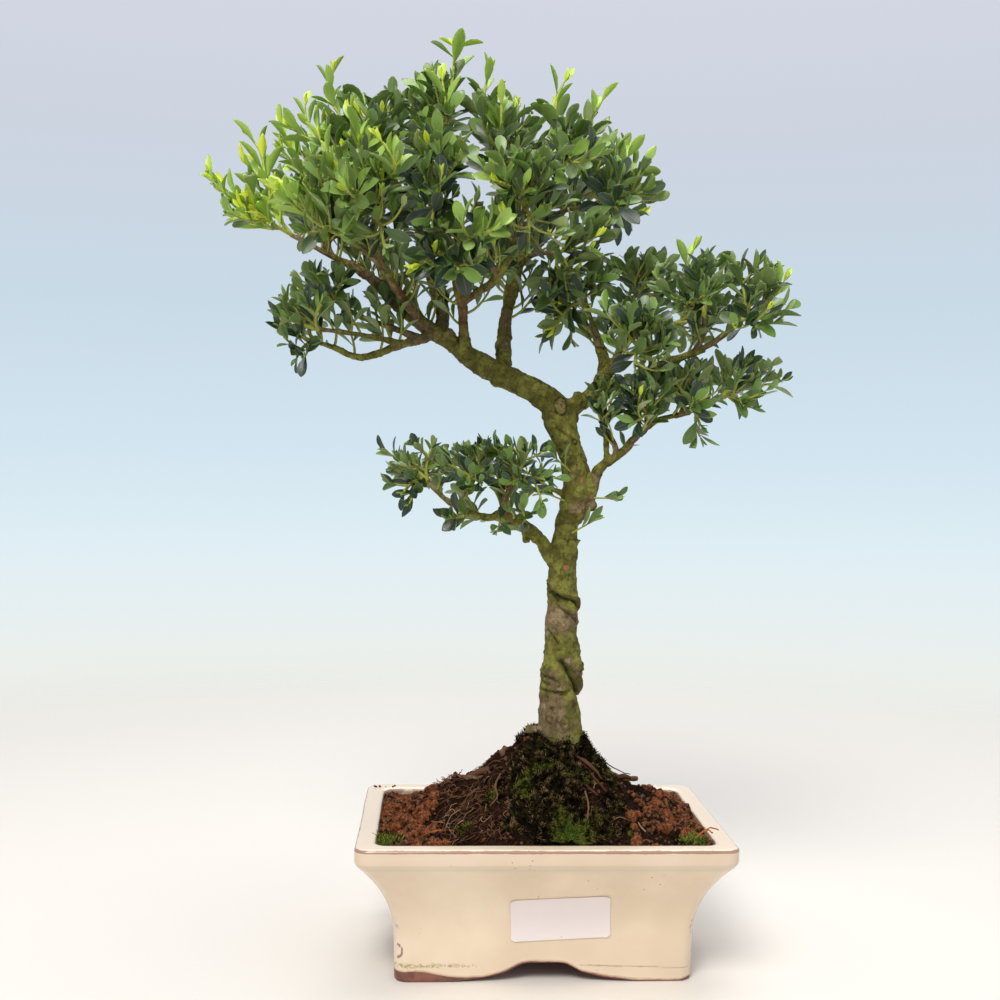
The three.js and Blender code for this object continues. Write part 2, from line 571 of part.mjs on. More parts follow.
function stand(owner, solid) {
  standing.push({ owner, solid, box: solid.boundingBox() });
}

function clears(solid, allowed) {
  const box = solid.boundingBox();
  return standing.every((other) => allowed(other.owner) || !boxesMeet(box, other.box)
    || solid.minGap(other.solid, 2 * CLEARANCE) >= CLEARANCE);
}

const TRIANGLE_TURN = (2 * Math.PI) / 3;

function routeAt(route, t) {
  return alongBend(route.start, route.bend, route.end, t);
}

function routeHeading(route, t) {
  const ahead = Math.min(t + 0.04, 1);
  return routeAt(route, ahead).sub(routeAt(route, ahead - 0.04)).normalize();
}

// Three-sided rings at the stations of a twig
function twigRings(route, stations) {
  let side = route.side;
  return stations.map((t) => {
    const along = t === 0 ? route.heading.clone() : routeHeading(route, t);
    const centre = routeAt(route, t);
    side = side.clone().addScaledVector(along, -side.dot(along)).normalize();
    const start = side;
    const across = along.clone().cross(side);
    const radius = THREE.MathUtils.lerp(route.radius, SHOOT_RADIUS * 0.8, Math.min(1, t * 1.6));
    const outward = (angle) => start.clone()
      .multiplyScalar(Math.cos(angle))
      .addScaledVector(across, Math.sin(angle));
    const corner = (k) => centre.clone().addScaledVector(outward(k * TRIANGLE_TURN), radius);
    const corners = [0, 1, 2].map(corner);
    return { centre, along, outward, corners };
  });
}

function bareRoute(route, from) {
  const stations = [0, 0.33, 0.67, 1].map((t) => from + (1 - from) * t);
  return loft(twigRings(route, stations).map((ring) => ring.corners));
}

// The course of a twig from its foot to its tip, bent clear of what stands in its way
function clearRoute(owner, foot, tip, random) {
  const reach = foot.start.distanceTo(tip);
  let first = null;
  for (let attempt = 0; attempt < 30; attempt += 1) {
    const bend = foot.start.clone().addScaledVector(foot.heading, reach * 0.4);
    const end = tip.clone();
    if (attempt > 0) {
      const sway = reach * 0.06 * Math.ceil(attempt / 4);
      const nudge = () => (random() - 0.5) * 2 * sway;
      bend.add(vec(nudge(), nudge(), nudge()));
      end.add(vec(nudge(), nudge(), nudge()).multiplyScalar(0.6));
    }
    const route = { ...foot, owner, bend, end, reach };
    first = first ?? route;
    const outer = bareRoute(route, 0.25);
    if (clears(outer, () => false) && clears(bareRoute(route, 0), (other) => other.name === owner.name)) {
      return route;
    }
  }
  console.warn(`no clear way for a twig of ${owner.name}`);
  return first;
}

// Stations of the rings along a twig, with what each short segment between two of them carries
function twigPlan(route, look, forks) {
  const step = LEAF_FOOT / route.reach;
  const stations = [0];
  const segments = [];
  const carry = (t, what) => {
    if (stations[stations.length - 1] < t - step / 4) stations.push(t);
    segments.push({ ring: stations.length - 1, what });
    stations.push(t + step);
  };
  forks.forEach((fork, i) => carry((1 + i) * step, fork));
  if (route.reach > look.short) carry(0.46, 'leaf');
  if (route.reach > look.long) carry(0.7, 'leaf');
  carry(1 - 2 * step, 'leaf');
  carry(1 - step, 'leaf');
  return { stations, segments };
}

// A leaf on one side of a short segment of a twig, turned until it stands clear, or none
function clearLeaf(route, ownSolids, [ring, upper], turn, taken, look, atEnd, random) {
  const length = look.length * (0.86 + 0.26 * random());
  for (let attempt = 0; attempt < 15; attempt += 1) {
    const angle = turn + attempt * 0.9;
    const side = ((Math.floor(angle / TRIANGLE_TURN) % 3) + 3) % 3;
    const spread = (atEnd ? 0.6 : 0.95) + 0.12 * (attempt % 3);
    const heading = ring.along.clone().multiplyScalar(Math.cos(spread))
      .addScaledVector(ring.outward(angle), Math.sin(spread))
      .add(vec(0, 0, 0.15))
      .normalize();
    const normal = ring.along.clone().addScaledVector(heading, -heading.dot(ring.along)).normalize();
    const edge = ring.corners[(side + 1) % 3].clone().sub(ring.corners[side]);
    const across = heading.clone().cross(normal);
    across.multiplyScalar(Math.sign(across.dot(edge)) || 1);
    const width = (look.width * length) / look.length;
    const leaf = { root: ring.centre, heading, normal, across, length, width, side };
    const outer = looseBlade(leaf, bladeSection(leaf, [0.2, 0.5, 0.09]));
    if (side === taken || ownSolids.some((own) => outer.minGap(own, 0.2) < 0.1)) continue;
    const corners = [ring.corners[side], ring.corners[(side + 1) % 3]];
    const blade = looseBlade(leaf, [...corners, upper.corners[(side + 1) % 3], upper.corners[side]]);
    if (clears(blade, (owner) => owner === route.owner)) {
      stand(route.owner, blade);
      ownSolids.push(outer);
      return leaf;
    }
  }
  return null;
}

// One skin for a whole spray: leaves and side twigs are drawn out of the sides of their twig
class Skin {
  constructor() {
    this.points = [];
    this.index = [];
  }

  keep(corners) {
    return corners.map((corner) => this.points.push(corner) - 1);
  }

  quad(a, b, c, d) {
    this.index.push(a, b, c, a, c, d);
  }

  leaf(foot, leaf) {
    let near = foot;
    for (const row of BLADE_STATIONS.slice(0, 2)) {
      const far = this.keep(bladeSection(leaf, row));
      this.quad(near[0], near[1], far[1], far[0]);
      this.quad(near[1], near[2], far[2], far[1]);
      this.quad(near[3], far[3], far[2], near[2]);
      this.quad(near[3], near[0], far[0], far[3]);
      near = far;
    }
    const tip = bladeSection(leaf, BLADE_STATIONS[2]);
    const [low, high] = this.keep([tip[0], tip[2]]);
    this.index.push(near[0], near[1], low, near[2], near[3], high);
    this.quad(near[1], near[2], high, low);
    this.quad(near[3], near[0], low, high);
  }

  // A twig from its second ring on, each side of each segment plain, a leaf or another twig
  twig(twig, ids) {
    for (let r = twig.foot ? 1 : 0; r + 1 < ids.length; r += 1) {
      for (let i = 0; i < 3; i += 1) {
        const next = (i + 1) % 3;
        const foot = [ids[r][i], ids[r][next], ids[r + 1][next], ids[r + 1][i]];
        const growth = twig.growths.find((one) => one.ring === r && one.side === i);
        if (!growth) this.quad(...foot);
        else if (growth.leaf) this.leaf(foot, growth.leaf);
        else this.sideTwig(foot, growth.twig);
      }
    }
    this.index.push(...ids[ids.length - 1]);
  }

  // A side twig's four-sided foot narrows to its first three-sided ring
  sideTwig([a, b, c, d], twig) {
    const ids = [[a, b, c], ...twig.rings.slice(1).map((ring) => this.keep(ring.corners))];
    const [p, q, r] = ids[1];
    this.quad(a, b, q, p);
    this.quad(b, c, r, q);
    this.index.push(c, d, r);
    this.quad(d, a, p, r);
    this.twig({ ...twig, foot: true }, ids);
  }

  mainTwig(twig) {
    const ids = twig.rings.map((ring) => this.keep(ring.corners));
    this.index.push(ids[0][0], ids[0][2], ids[0][1]);
    this.twig(twig, ids);
  }

  solid() {
    const geometry = new THREE.BufferGeometry();
    const numbers = this.points.flatMap((p) => [p.x, p.y, p.z]);
    geometry.setAttribute('position', new THREE.Float32BufferAttribute(numbers, 3));
    geometry.setIndex(this.index);
    return solidFrom(geometry);
  }
}

const MATURE = { length: LEAF_LENGTH, width: LEAF_WIDTH, short: 19, long: 38 };
const YOUNG = { length: YOUNG_LEAF_LENGTH, width: YOUNG_LEAF_WIDTH, short: 8, long: 16 };

// The foot of a twig that follows on from the flat end of another
function footBeyond(end, heading, radius) {
  const aside = Math.abs(heading.z) > 0.9 ? vec(1, 0, 0) : vec(0, 0, 1);
  return { start: end.clone().addScaledVector(heading, CLEARANCE * 1.15), heading, radius, side: aside };
}

// The foot of a side twig, on the side of its carrier that looks most towards its tip
function footOnSide(lower, upper, tip, taken) {
  const root = lower.centre.clone().lerp(upper.centre, 0.5);
  const wanted = tip.clone().sub(root).normalize();
  const facing = (side) => lower.outward((side + 0.5) * TRIANGLE_TURN);
  const sides = [0, 1, 2].filter((side) => side !== taken);
  const closer = (best, one) => (facing(one).dot(wanted) > facing(best).dot(wanted) ? one : best);
  const side = sides.reduce(closer);
  const heading = facing(side).clone()
    .addScaledVector(lower.along, 0.7)
    .addScaledVector(wanted, 0.6)
    .normalize();
  const across = lower.corners[(side + 1) % 3].clone().sub(lower.corners[side]);
  across.addScaledVector(heading, -across.dot(heading)).normalize();
  const up = heading.clone().cross(across);
  const first = across.multiplyScalar(-Math.cos(Math.PI / 6)).addScaledVector(up, -Math.sin(Math.PI / 6));
  return { foot: { start: root, heading, radius: SHOOT_RADIUS, side: first }, side };
}

// The twigs of a spray without their leaves: the one most in line with the bare twig carries the others
function sprayTwigs(name, bare, random) {
  const tips = SPRAYS[name][2].map((tip) => vec(...tip));
  const inLine = (tip) => tip.clone().sub(bare.end).normalize().dot(bare.heading);
  const lead = tips.reduce((best, tip, i) => (inLine(tip) > inLine(tips[best]) ? i : best), 0);
  const mainFoot = footBeyond(bare.end, bare.heading, WOOD_TWIG_RADIUS);
  const main = clearRoute({ name }, mainFoot, tips[lead], random);
  stand(main.owner, bareRoute(main, 0));
  const others = tips.map((_, i) => i).filter((i) => i !== lead);
  const { stations, segments } = twigPlan(main, MATURE, others);
  const mainTwig = { route: main, rings: twigRings(main, stations), stations, segments, growths: [] };
  const twigs = [];
  twigs[lead] = mainTwig;
  let taken = null;
  segments.filter(({ what }) => what !== 'leaf').forEach(({ ring, what }) => {
    const { foot, side } = footOnSide(mainTwig.rings[ring], mainTwig.rings[ring + 1], tips[what], taken);
    taken = side;
    const route = clearRoute({ name }, foot, tips[what], random);
    stand(route.owner, bareRoute(route, 0.12));
    const plan = twigPlan(route, MATURE, []);
    twigs[what] = { route, rings: twigRings(route, plan.stations), ...plan, growths: [] };
    mainTwig.growths.push({ ring, side, twig: twigs[what] });
  });
  return { mainTwig, twigs };
}

function newShootTwig(name, carrier, random) {
  const foot = footBeyond(carrier.end, routeHeading(carrier, 1), SHOOT_RADIUS * 0.8);
  const route = clearRoute({ name }, foot, vec(...NEW_SHOOTS[name][2]), random);
  stand(route.owner, bareRoute(route, 0));
  const plan = twigPlan(route, YOUNG, []);
  return { route, rings: twigRings(route, plan.stations), ...plan, growths: [] };
}

// Leaves on a twig from its tip down, by the golden angle
function addLeaves(twig, look, random) {
  const ownSolids = [bareRoute(twig.route, 0)];
  let turn = random() * 2 * Math.PI;
  let taken = null;
  twig.segments.filter(({ what }) => what === 'leaf').reverse().forEach(({ ring }, i) => {
    turn += GOLDEN_ANGLE;
    const rings = twig.rings.slice(ring, ring + 2);
    const leaf = clearLeaf(twig.route, ownSolids, rings, turn, taken, look, i < 2, random);
    taken = leaf?.side ?? null;
    if (leaf) twig.growths.push({ ring, side: leaf.side, leaf });
  });
}

const COLOURS = {
  glaze: { color: 0xe6d4ba, roughness: 0.3 },
  paper: { color: 0xf3eaea, roughness: 0.7 },
  soil: { color: 0x4a3022, roughness: 0.95 },
  moss: { color: 0x53652a, roughness: 0.95 },
  bark: { color: 0x77664a, roughness: 0.85 },
  leaf: { color: 0x3d6b33, roughness: 0.45 },
  newLeaf: { color: 0xb3cf49, roughness: 0.45 },
};

function named(name, solid, look) {
  const material = new THREE.MeshStandardMaterial({ ...look, metalness: 0 });
  const mesh = new THREE.Mesh(geometryFrom(solid), material);
  mesh.name = name;
  return mesh;
}

const group = new THREE.Group();
const bareTwigs = Object.fromEntries(Object.entries(SPRAYS).map(([name, row]) => [name, bareTwig(row)]));
const buriedWood = woodInSoil();
const soilSolid = soil(buriedWood);
const woodSolid = wood(Object.values(bareTwigs));
group.add(named('pot', pot(), COLOURS.glaze));
group.add(named('label', label(), COLOURS.paper));
group.add(named('soil', soilSolid, COLOURS.soil));
group.add(named('moss_cushion', moss(soilSolid, buriedWood), COLOURS.moss));
group.add(named('trunk', woodSolid, COLOURS.bark));

stand({ name: 'trunk' }, woodSolid);
const sprays = {};
Object.keys(SPRAYS).forEach((name, i) => {
  sprays[name] = sprayTwigs(name, bareTwigs[name], seeded(100 + i));
});
const newShoots = {};
Object.entries(NEW_SHOOTS).forEach(([name, [spray, index]], i) => {
  newShoots[name] = newShootTwig(name, sprays[spray].twigs[index].route, seeded(300 + i));
});

function foliage(name, mainTwig, twigs, look, colour, random) {
  twigs.forEach((twig) => addLeaves(twig, look, random));
  const skin = new Skin();
  skin.mainTwig(mainTwig);
  group.add(named(name, skin.solid(), colour));
}

Object.entries(newShoots).forEach(([name, twig], i) => {
  foliage(name, twig, [twig], YOUNG, COLOURS.newLeaf, seeded(500 + i));
});
Object.entries(sprays).forEach(([name, { mainTwig, twigs }], i) => {
  foliage(name, mainTwig, twigs, MATURE, COLOURS.leaf, seeded(700 + i));
});

// The origin is the middle of the whole plant's footprint, on the surface that the bowl stands on
const bounds = new THREE.Box3().setFromObject(group);
const centre = bounds.getCenter(vec(0, 0, 0));
group.position.set(-centre.x, -centre.y, -bounds.min.z);
group.updateMatrixWorld(true);

export default group;
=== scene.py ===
# Japanese holly bonsai in a cream glazed bowl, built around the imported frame
import itertools
import json
import math
import random

import bmesh
import bpy
import numpy as np
from bpy.props import FloatProperty, FloatVectorProperty, IntProperty, PointerProperty
from mathutils import Matrix, Vector
from mathutils.kdtree import KDTree

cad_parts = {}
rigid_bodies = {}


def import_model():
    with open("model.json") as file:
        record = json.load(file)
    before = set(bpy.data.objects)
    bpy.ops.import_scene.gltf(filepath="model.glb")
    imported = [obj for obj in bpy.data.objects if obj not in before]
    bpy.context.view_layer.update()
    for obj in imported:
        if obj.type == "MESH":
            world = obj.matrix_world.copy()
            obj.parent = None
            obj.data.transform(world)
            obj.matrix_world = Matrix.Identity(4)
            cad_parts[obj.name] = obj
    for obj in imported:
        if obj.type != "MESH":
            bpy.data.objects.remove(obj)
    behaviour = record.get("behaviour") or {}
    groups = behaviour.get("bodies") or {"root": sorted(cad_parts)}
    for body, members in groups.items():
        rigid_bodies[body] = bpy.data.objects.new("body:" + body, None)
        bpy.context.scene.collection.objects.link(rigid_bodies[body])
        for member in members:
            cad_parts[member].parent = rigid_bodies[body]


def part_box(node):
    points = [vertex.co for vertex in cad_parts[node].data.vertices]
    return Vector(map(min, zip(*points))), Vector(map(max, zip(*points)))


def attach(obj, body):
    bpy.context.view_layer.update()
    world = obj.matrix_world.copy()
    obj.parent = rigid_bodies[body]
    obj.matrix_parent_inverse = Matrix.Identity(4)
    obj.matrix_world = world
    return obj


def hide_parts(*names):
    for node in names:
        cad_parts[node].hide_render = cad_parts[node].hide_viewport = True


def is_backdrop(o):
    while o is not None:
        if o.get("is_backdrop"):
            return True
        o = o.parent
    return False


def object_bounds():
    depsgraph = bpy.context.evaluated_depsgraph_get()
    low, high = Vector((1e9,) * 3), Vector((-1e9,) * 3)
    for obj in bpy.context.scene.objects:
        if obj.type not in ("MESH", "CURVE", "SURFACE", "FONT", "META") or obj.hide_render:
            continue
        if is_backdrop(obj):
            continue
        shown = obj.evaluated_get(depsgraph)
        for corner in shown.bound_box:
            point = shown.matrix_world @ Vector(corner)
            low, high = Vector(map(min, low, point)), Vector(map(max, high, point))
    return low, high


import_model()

bl_info = {
    "name": "Japanese holly bonsai",
    "version": (1, 0, 0),
    "blender": (4, 5, 0),
    "location": "View3D > Sidebar > Bonsai",
    "description": "Builds a small-leaved bonsai in a glazed bowl around its packed frame",
    "category": "Add Mesh",
}

# The skeleton below is in millimetres from the middle of the bowl's feet, +X right, +Y back, +Z up
MM = 0.001
BOX_LOW, BOX_HIGH = (Vector(corner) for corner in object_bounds())
BOWL_LOW, BOWL_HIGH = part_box("pot")
BOWL_CENTRE = Vector(((BOWL_LOW.x + BOWL_HIGH.x) / 2, (BOWL_LOW.y + BOWL_HIGH.y) / 2, BOWL_LOW.z))
BOWL_HALF_X, BOWL_HALF_Y = ((BOWL_HIGH[i] - BOWL_LOW[i]) / MM / 2 for i in (0, 1))
BOWL_TOP = (BOWL_HIGH.z - BOWL_LOW.z) / MM
BOX_MARGIN = 3.0
GOLDEN_ANGLE = math.radians(137.5)
UP = Vector((0, 0, 1))

# Trunk: centre x, height and radius, from the soil up to the fork
STUMP_BOTTOM_Z = 88
TRUNK = [
    [11.7, 101, 13.4], [11.7, 109.5, 13.2], [10.9, 121.9, 11.8], [10, 130, 11.1], [8.5, 138.1, 9.4],
    [10.6, 144.6, 11.5], [11.1, 154.9, 9.8], [11.8, 160.3, 10.1], [10.8, 168.4, 8.8], [11.2, 184.5, 8.7],
    [10.8, 202.9, 7.4], [11.4, 213.6, 7.5], [12.4, 222.3, 6.4], [13.1, 230.3, 6.2], [15.7, 237.4, 7.2],
    [18.3, 244.4, 8], [18.1, 253.5, 7.5], [16.4, 262.1, 7.2], [13, 271.7, 7.2], [9.6, 281.3, 8.6],
    [8, 290.9, 9.2], [8, 296, 6],
]

# Limbs and bare branches: x, y, z and radius along each
LIMBS = {
    "left_limb": [[8, 0, 290, 7], [-1, -1, 297, 6.7], [-11, -2, 302, 6.4], [-30, -1, 311, 5.9],
                  [-40, 0, 317, 5.4], [-49, 2, 324, 4.6], [-59, 3, 330, 4.3], [-78, 4, 344, 3.8],
                  [-96, 1, 360, 2.7], [-119, -5, 371, 1.4]],
    "rear_leader": [[-56, 4, 329, 3.8], [-55, 9, 341, 3.8], [-58, 14, 351, 3.6], [-63, 20, 367, 3],
                    [-68, 24, 386, 2.5], [-73, 26, 403, 1.8]],
    "upright_a": [[-22, 2, 313, 4.3], [-22, 6, 330, 3.8], [-20, 10, 344, 3.3], [-16, 14, 356, 2.5],
                  [-13, 18, 372, 2.1], [-9, 22, 389, 1.7]],
    "upright_b": [[-43, -3, 320, 2.9], [-44, -7, 330, 2.4], [-45, -11, 342, 2.4], [-48, -15, 351, 2.1],
                  [-54, -20, 380, 1.6]],
    "upright_b_side": [[-45, -12, 345, 2.1], [-36, -18, 350, 2.1], [-26, -25, 358, 1.8],
                       [-18, -33, 377, 1.3]],
    "front_left": [[-66, 3, 335, 2.8], [-76, -14, 346, 2.4], [-88, -28, 362, 1.8]],
    "rear_left": [[-84, 3, 349, 3], [-90, 22, 370, 2.4], [-98, 40, 392, 1.7]],
    "rear_right": [[-20, 10, 344, 2.9], [-17, 26, 368, 2.4], [-10, 38, 396, 1.8]],
    "rear_right_side": [[-17, 26, 368, 2.2], [0, 36, 386, 1.8], [12, 42, 404, 1.5]],
    "left_low": [[-59, 3, 330, 2.9], [-66, -1, 326, 2.5], [-76, -5, 323, 2.2], [-97, -12, 315, 1.9],
                 [-113, -16, 320, 1.4]],
    "left_low_upper": [[-66, -1, 326, 2.2], [-81, -7, 331, 1.7], [-99, -12, 336, 1.3]],
    "left_low_outer": [[-76, -5, 323, 1.9], [-90, -16, 325, 1.4], [-108, -23, 327, 1.2]],
    "right_limb": [[12, 0, 290, 5.1], [19, -2, 294, 4.5], [25, -4, 298, 4.3], [34, -6, 311, 3.4],
                   [40, -7, 316, 2.4]],
    "right_a": [[30, -4, 305, 3.1], [32, 3, 317, 3], [30, 6, 325, 2.8], [26, 5, 336, 1.8]],
    "right_b": [[29, -5, 301, 3.1], [39, -11, 303, 2.6], [59, -17, 313, 2.3], [82, -20, 322, 1.8]],
    "right_d": [[36, -6, 312, 2.4], [41, 8, 323, 1.8], [50, 16, 340, 1.4]],
    "lower_right": [[17, 0, 236, 4], [24, -2, 242, 3.5], [29, -6, 258, 2.9], [40, -10, 267, 2.2],
                    [56, -14, 283, 1.7], [76, -13, 289, 1.3]],
    "lower_left": [[11, 0, 202, 4], [3, -2, 212, 3.5], [-1, -4, 220, 3.3], [-12, -8, 229, 2.9],
                   [-23, -11, 234, 2.4], [-30, -12, 232, 2.1], [-47, -14, 237, 1.6]],
    "trunk_spur": [[14, 0, 244, 3], [8, 3, 246, 1.6]],
    "cut_stub_left": [[-42, 1, 320, 3.4], [-44, 5, 332, 2.6]],
    "cut_stub_under": [[-10, -7, 228, 2.4], [-9, -8, 219, 1.9]],
}

# Short spurs and cut stubs too small for the frame
SPURS = {
    "base_stub": [[4, -3, 117, 3], [-4, -4, 118.5, 2.4], [-8, -4, 119, 2.6]],
    "red_stub": [[20, -2, 238, 2.2], [26, -4, 239, 1.9], [28, -5, 239.5, 1.5]],
    "thorn": [[16, -1, 217, 1.8], [20.5, -2, 220.5, 0.7]],
    "limb_nub": [[-50, -2, 326, 3], [-52, -6, 331, 1.9]],
    "limb_scar": [[-57, -2, 329, 3], [-58, -6, 331, 2.3]],
    "upright_twig": [[33, -8, 262, 1.7], [32, -9, 278, 1.5], [31, -8, 299, 1.2]],
    "fork_nub": [[17, -3, 294, 3], [17, -6, 299, 2.2]],
}

# Burls on the trunk: x, y, z and radius
BURLS = [[18, -4, 153, 6.5], [16, -7, 137, 4.5], [20, 4, 246, 5]]
BURL_PROFILE = [(-1, 0.35), (-0.6, 0.7), (0, 0.85), (0.6, 0.7), (1, 0.35)]

# Roots that lie in the surface of the mound
ROOTS = {
    "left": [[4, -2, 104, 5], [-14, -6, 98, 3], [-30, -5, 92, 2], [-44, -3, 93, 1.5]],
    "knob": [[4, 2, 103, 5], [-11, 4, 102, 3.2], [-20, 5, 106, 2.6]],
    "right": [[18, 0, 103, 5], [36, 4, 94, 2.6], [46, 6, 90, 1.8], [55, 6, 90, 1.4]],
    "front": [[15, -6, 104, 4], [26, -14, 97, 2.2], [34, -20, 89, 1.8], [40, -23, 83, 1.5]],
    "back": [[10, 6, 104, 5], [0, 22, 93, 2.8], [-8, 36, 80, 1.8]],
    "back_right": [[16, 6, 104, 4], [30, 20, 93, 2.4], [40, 32, 81, 1.6]],
}

# Leafy sprays: the limb that carries each, where it forks, and the tips of its twigs
SPRAYS = {
    "crown_far_left": ["left_limb", [-135, -6, 379], [[-169, -10, 401], [-150, -26, 386], [-151, -2, 419]]],
    "crown_left_back": ["left_limb", [-121, 14, 388], [[-146, 26, 409], [-134, 34, 387], [-137, 12, 428]]],
    "crown_left_front": ["front_left", [-114, -44, 376],
                         [[-131, -50, 390], [-111, -60, 397], [-106, -62, 369]]],
    "crown_left_top": ["left_limb", [-104, -4, 401], [[-125, -6, 435], [-114, 6, 449], [-98, -28, 419]]],
    "crown_rear_left": ["rear_left", [-109, 54, 410], [[-138, 62, 428], [-119, 50, 442], [-104, 78, 426]]],
    "crown_mid_left": ["rear_leader", [-85, 10, 416], [[-98, 8, 451], [-84, 14, 458], [-93, -18, 434]]],
    "crown_front_left": ["front_left", [-90, -46, 383], [[-99, -72, 389], [-80, -68, 400], [-84, -64, 364]]],
    "crown_peak": ["rear_leader", [-63, 14, 428], [[-67, 4, 459], [-52, 0, 462], [-55, -24, 440]]],
    "crown_rear_mid": ["rear_leader", [-69, 48, 421], [[-87, 50, 448], [-58, 46, 458], [-71, 80, 429]]],
    "crown_front_mid": ["upright_b", [-57, -38, 394], [[-67, -58, 411], [-50, -66, 404], [-61, -70, 376]]],
    "crown_front_low": ["upright_b_side", [-43, -40, 366],
                        [[-66, -54, 357], [-48, -66, 352], [-33, -74, 370]]],
    "crown_mid_right": ["upright_a", [-22, 8, 414], [[-34, 6, 454], [-18, 10, 451], [-27, -22, 430]]],
    "crown_front_right": ["upright_b_side", [-15, -42, 388],
                          [[-29, -68, 395], [-11, -62, 404], [-14, -60, 368]]],
    "crown_rear_right": ["rear_right", [-12, 48, 423], [[-29, 46, 449], [4, 52, 446], [-10, 78, 427]]],
    "crown_right_top": ["upright_a", [5, 8, 415], [[4, 4, 450], [23, 6, 446], [9, -28, 418]]],
    "crown_right": ["upright_a", [25, 12, 402], [[44, 8, 428], [51, -2, 407], [33, -28, 393]]],
    "crown_right_low": ["upright_a", [4, -8, 372], [[21, -10, 381], [10, -22, 361], [-2, 6, 352]]],
    "crown_rear_far_right": ["rear_right_side", [22, 46, 415], [[36, 38, 438], [39, 54, 412], [19, 70, 407]]],
    "right_upper_near": ["right_a", [22, 2, 347],
                         [[9, 6, 353], [4, -12, 333], [24, -18, 356], [16, 22, 330]]],
    "right_upper_mid": ["right_d", [54, 18, 353],
                        [[42, 8, 366], [58, 22, 371], [46, 42, 348], [68, 44, 360]]],
    "right_upper_front": ["right_b", [46, -34, 320], [[33, -46, 331], [50, -48, 335], [41, -48, 309]]],
    "right_upper_far": ["right_b", [81, -22, 338], [[74, -14, 360], [88, -6, 367], [64, -36, 345]]],
    "right_upper_end": ["right_b", [101, -21, 337], [[100, -14, 364], [116, -22, 349], [104, -38, 331]]],
    "right_upper_back": ["right_d", [74, 28, 341], [[94, 30, 359], [86, 44, 335], [106, 12, 351]]],
    "right_lower_stem": ["lower_right", [33, -9, 278], [[31, -6, 301], [26, -18, 290]]],
    "right_lower_near": ["lower_right", [53, -24, 287], [[46, -30, 299], [60, -4, 304], [43, -40, 282]]],
    "right_lower_mid": ["lower_right", [72, -18, 294],
                        [[64, -24, 307], [85, -6, 310], [77, -36, 281], [73, 13, 299]]],
    "right_lower_end": ["lower_right", [94, -10, 298],
                        [[104, -12, 313], [121, -6, 308], [101, -26, 293], [95, 12, 309]]],
    "left_lower_near": ["lower_left", [-17, -17, 251],
                        [[-10, -22, 267], [-24, -8, 268], [-5, -30, 253], [-16, 14, 258]]],
    "left_lower_mid": ["lower_left", [-40, -18, 249],
                       [[-34, -20, 267], [-50, -12, 265], [-42, -46, 252], [-34, 18, 257]]],
    "left_lower_end": ["lower_left", [-62, -14, 251],
                       [[-60, -10, 268], [-76, -8, 261], [-74, -26, 245], [-59, 16, 252]]],
    "left_low_end": ["left_low", [-121, -18, 322], [[-136, -16, 329], [-129, -28, 313], [-124, -10, 338]]],
    "left_low_inner": ["left_low_upper", [-111, -12, 344],
                       [[-121, -14, 353], [-107, -32, 350], [-118, 6, 345]]],
    "left_low_thin": ["left_low_outer", [-118, -30, 327], [[-132, -36, 332], [-116, -44, 338]]],
    "trunk_shoot": ["trunk_spur", [2, 6, 249], [[-1, 2, 261], [-8, 6, 243]]],
}

# New shoots in lime green: the spray and the twig of it that each grows on, and its tip
NEW_SHOOTS = {
    "new_shoot_far_left": ["crown_far_left", 0, [-177, -12, 406]],
    "new_shoot_left": ["crown_far_left", 2, [-158, 0, 431]],
    "new_shoot_left_back": ["crown_left_back", 2, [-143, 12, 441]],
    "new_shoot_left_front": ["crown_left_front", 1, [-115, -62, 414]],
    "new_shoot_left_top": ["crown_left_top", 0, [-129, -4, 447]],
    "new_shoot_tall": ["crown_left_top", 1, [-116, 8, 468]],
    "new_shoot_mid_left": ["crown_left_top", 2, [-103, -32, 436]],
    "new_shoot_front": ["crown_front_left", 1, [-85, -74, 411]],
    "new_shoot_peak": ["crown_peak", 1, [-51, 0, 482]],
    "new_shoot_peak_front": ["crown_peak", 2, [-57, -30, 454]],
    "new_shoot_mid_right": ["crown_mid_right", 0, [-32, 6, 470]],
    "new_shoot_right_front": ["crown_mid_right", 2, [-27, -30, 443]],
    "new_shoot_right_top": ["crown_right_top", 0, [8, 4, 465]],
    "new_shoot_right": ["crown_right_top", 1, [29, 6, 457]],
    "new_shoot_pad_top": ["right_upper_far", 0, [76, -14, 374]],
    "new_shoot_pad_end": ["right_upper_end", 1, [122, -24, 357]],
    "new_shoot_rear": ["crown_rear_mid", 0, [-92, 52, 461]],
}

# How each group of sprays is leaved: size of its leaves, distance between them, side shoots for each twig,
# how steeply those rise, share of fresh growth and share of shoots that end in a yellow bud
GROUP_KEYS = ("size", "gap", "side_shoots", "rise", "fresh", "buds")
GROUPS = {
    "crown_far_left": (0.95, 1.0, 5, 0.6, 0.75, 0.7),
    "crown_left": (0.98, 1.0, 5, 0.6, 0.55, 0.5),
    "crown": (1.0, 1.0, 5, 0.6, 0.34, 0.22),
    "right_upper": (0.86, 0.92, 5, 0.4, 0.14, 0.12),
    "right_lower": (0.76, 0.88, 4, 0.35, 0.1, 0.06),
    "left_lower": (0.66, 0.8, 5, 0.12, 0.04, 0.0),
    "left_low": (0.78, 1.0, 3, 0.3, 0.08, 0.1),
    "trunk_shoot": (0.62, 1.0, 1, 0.3, 0.06, 0.0),
    "new_shoot": (0.86, 1.35, 0, 0.5, 1.0, 1.0),
    "limb_shoots": (0.84, 1.0, 0, 0.5, 0.0, 0.05),
}

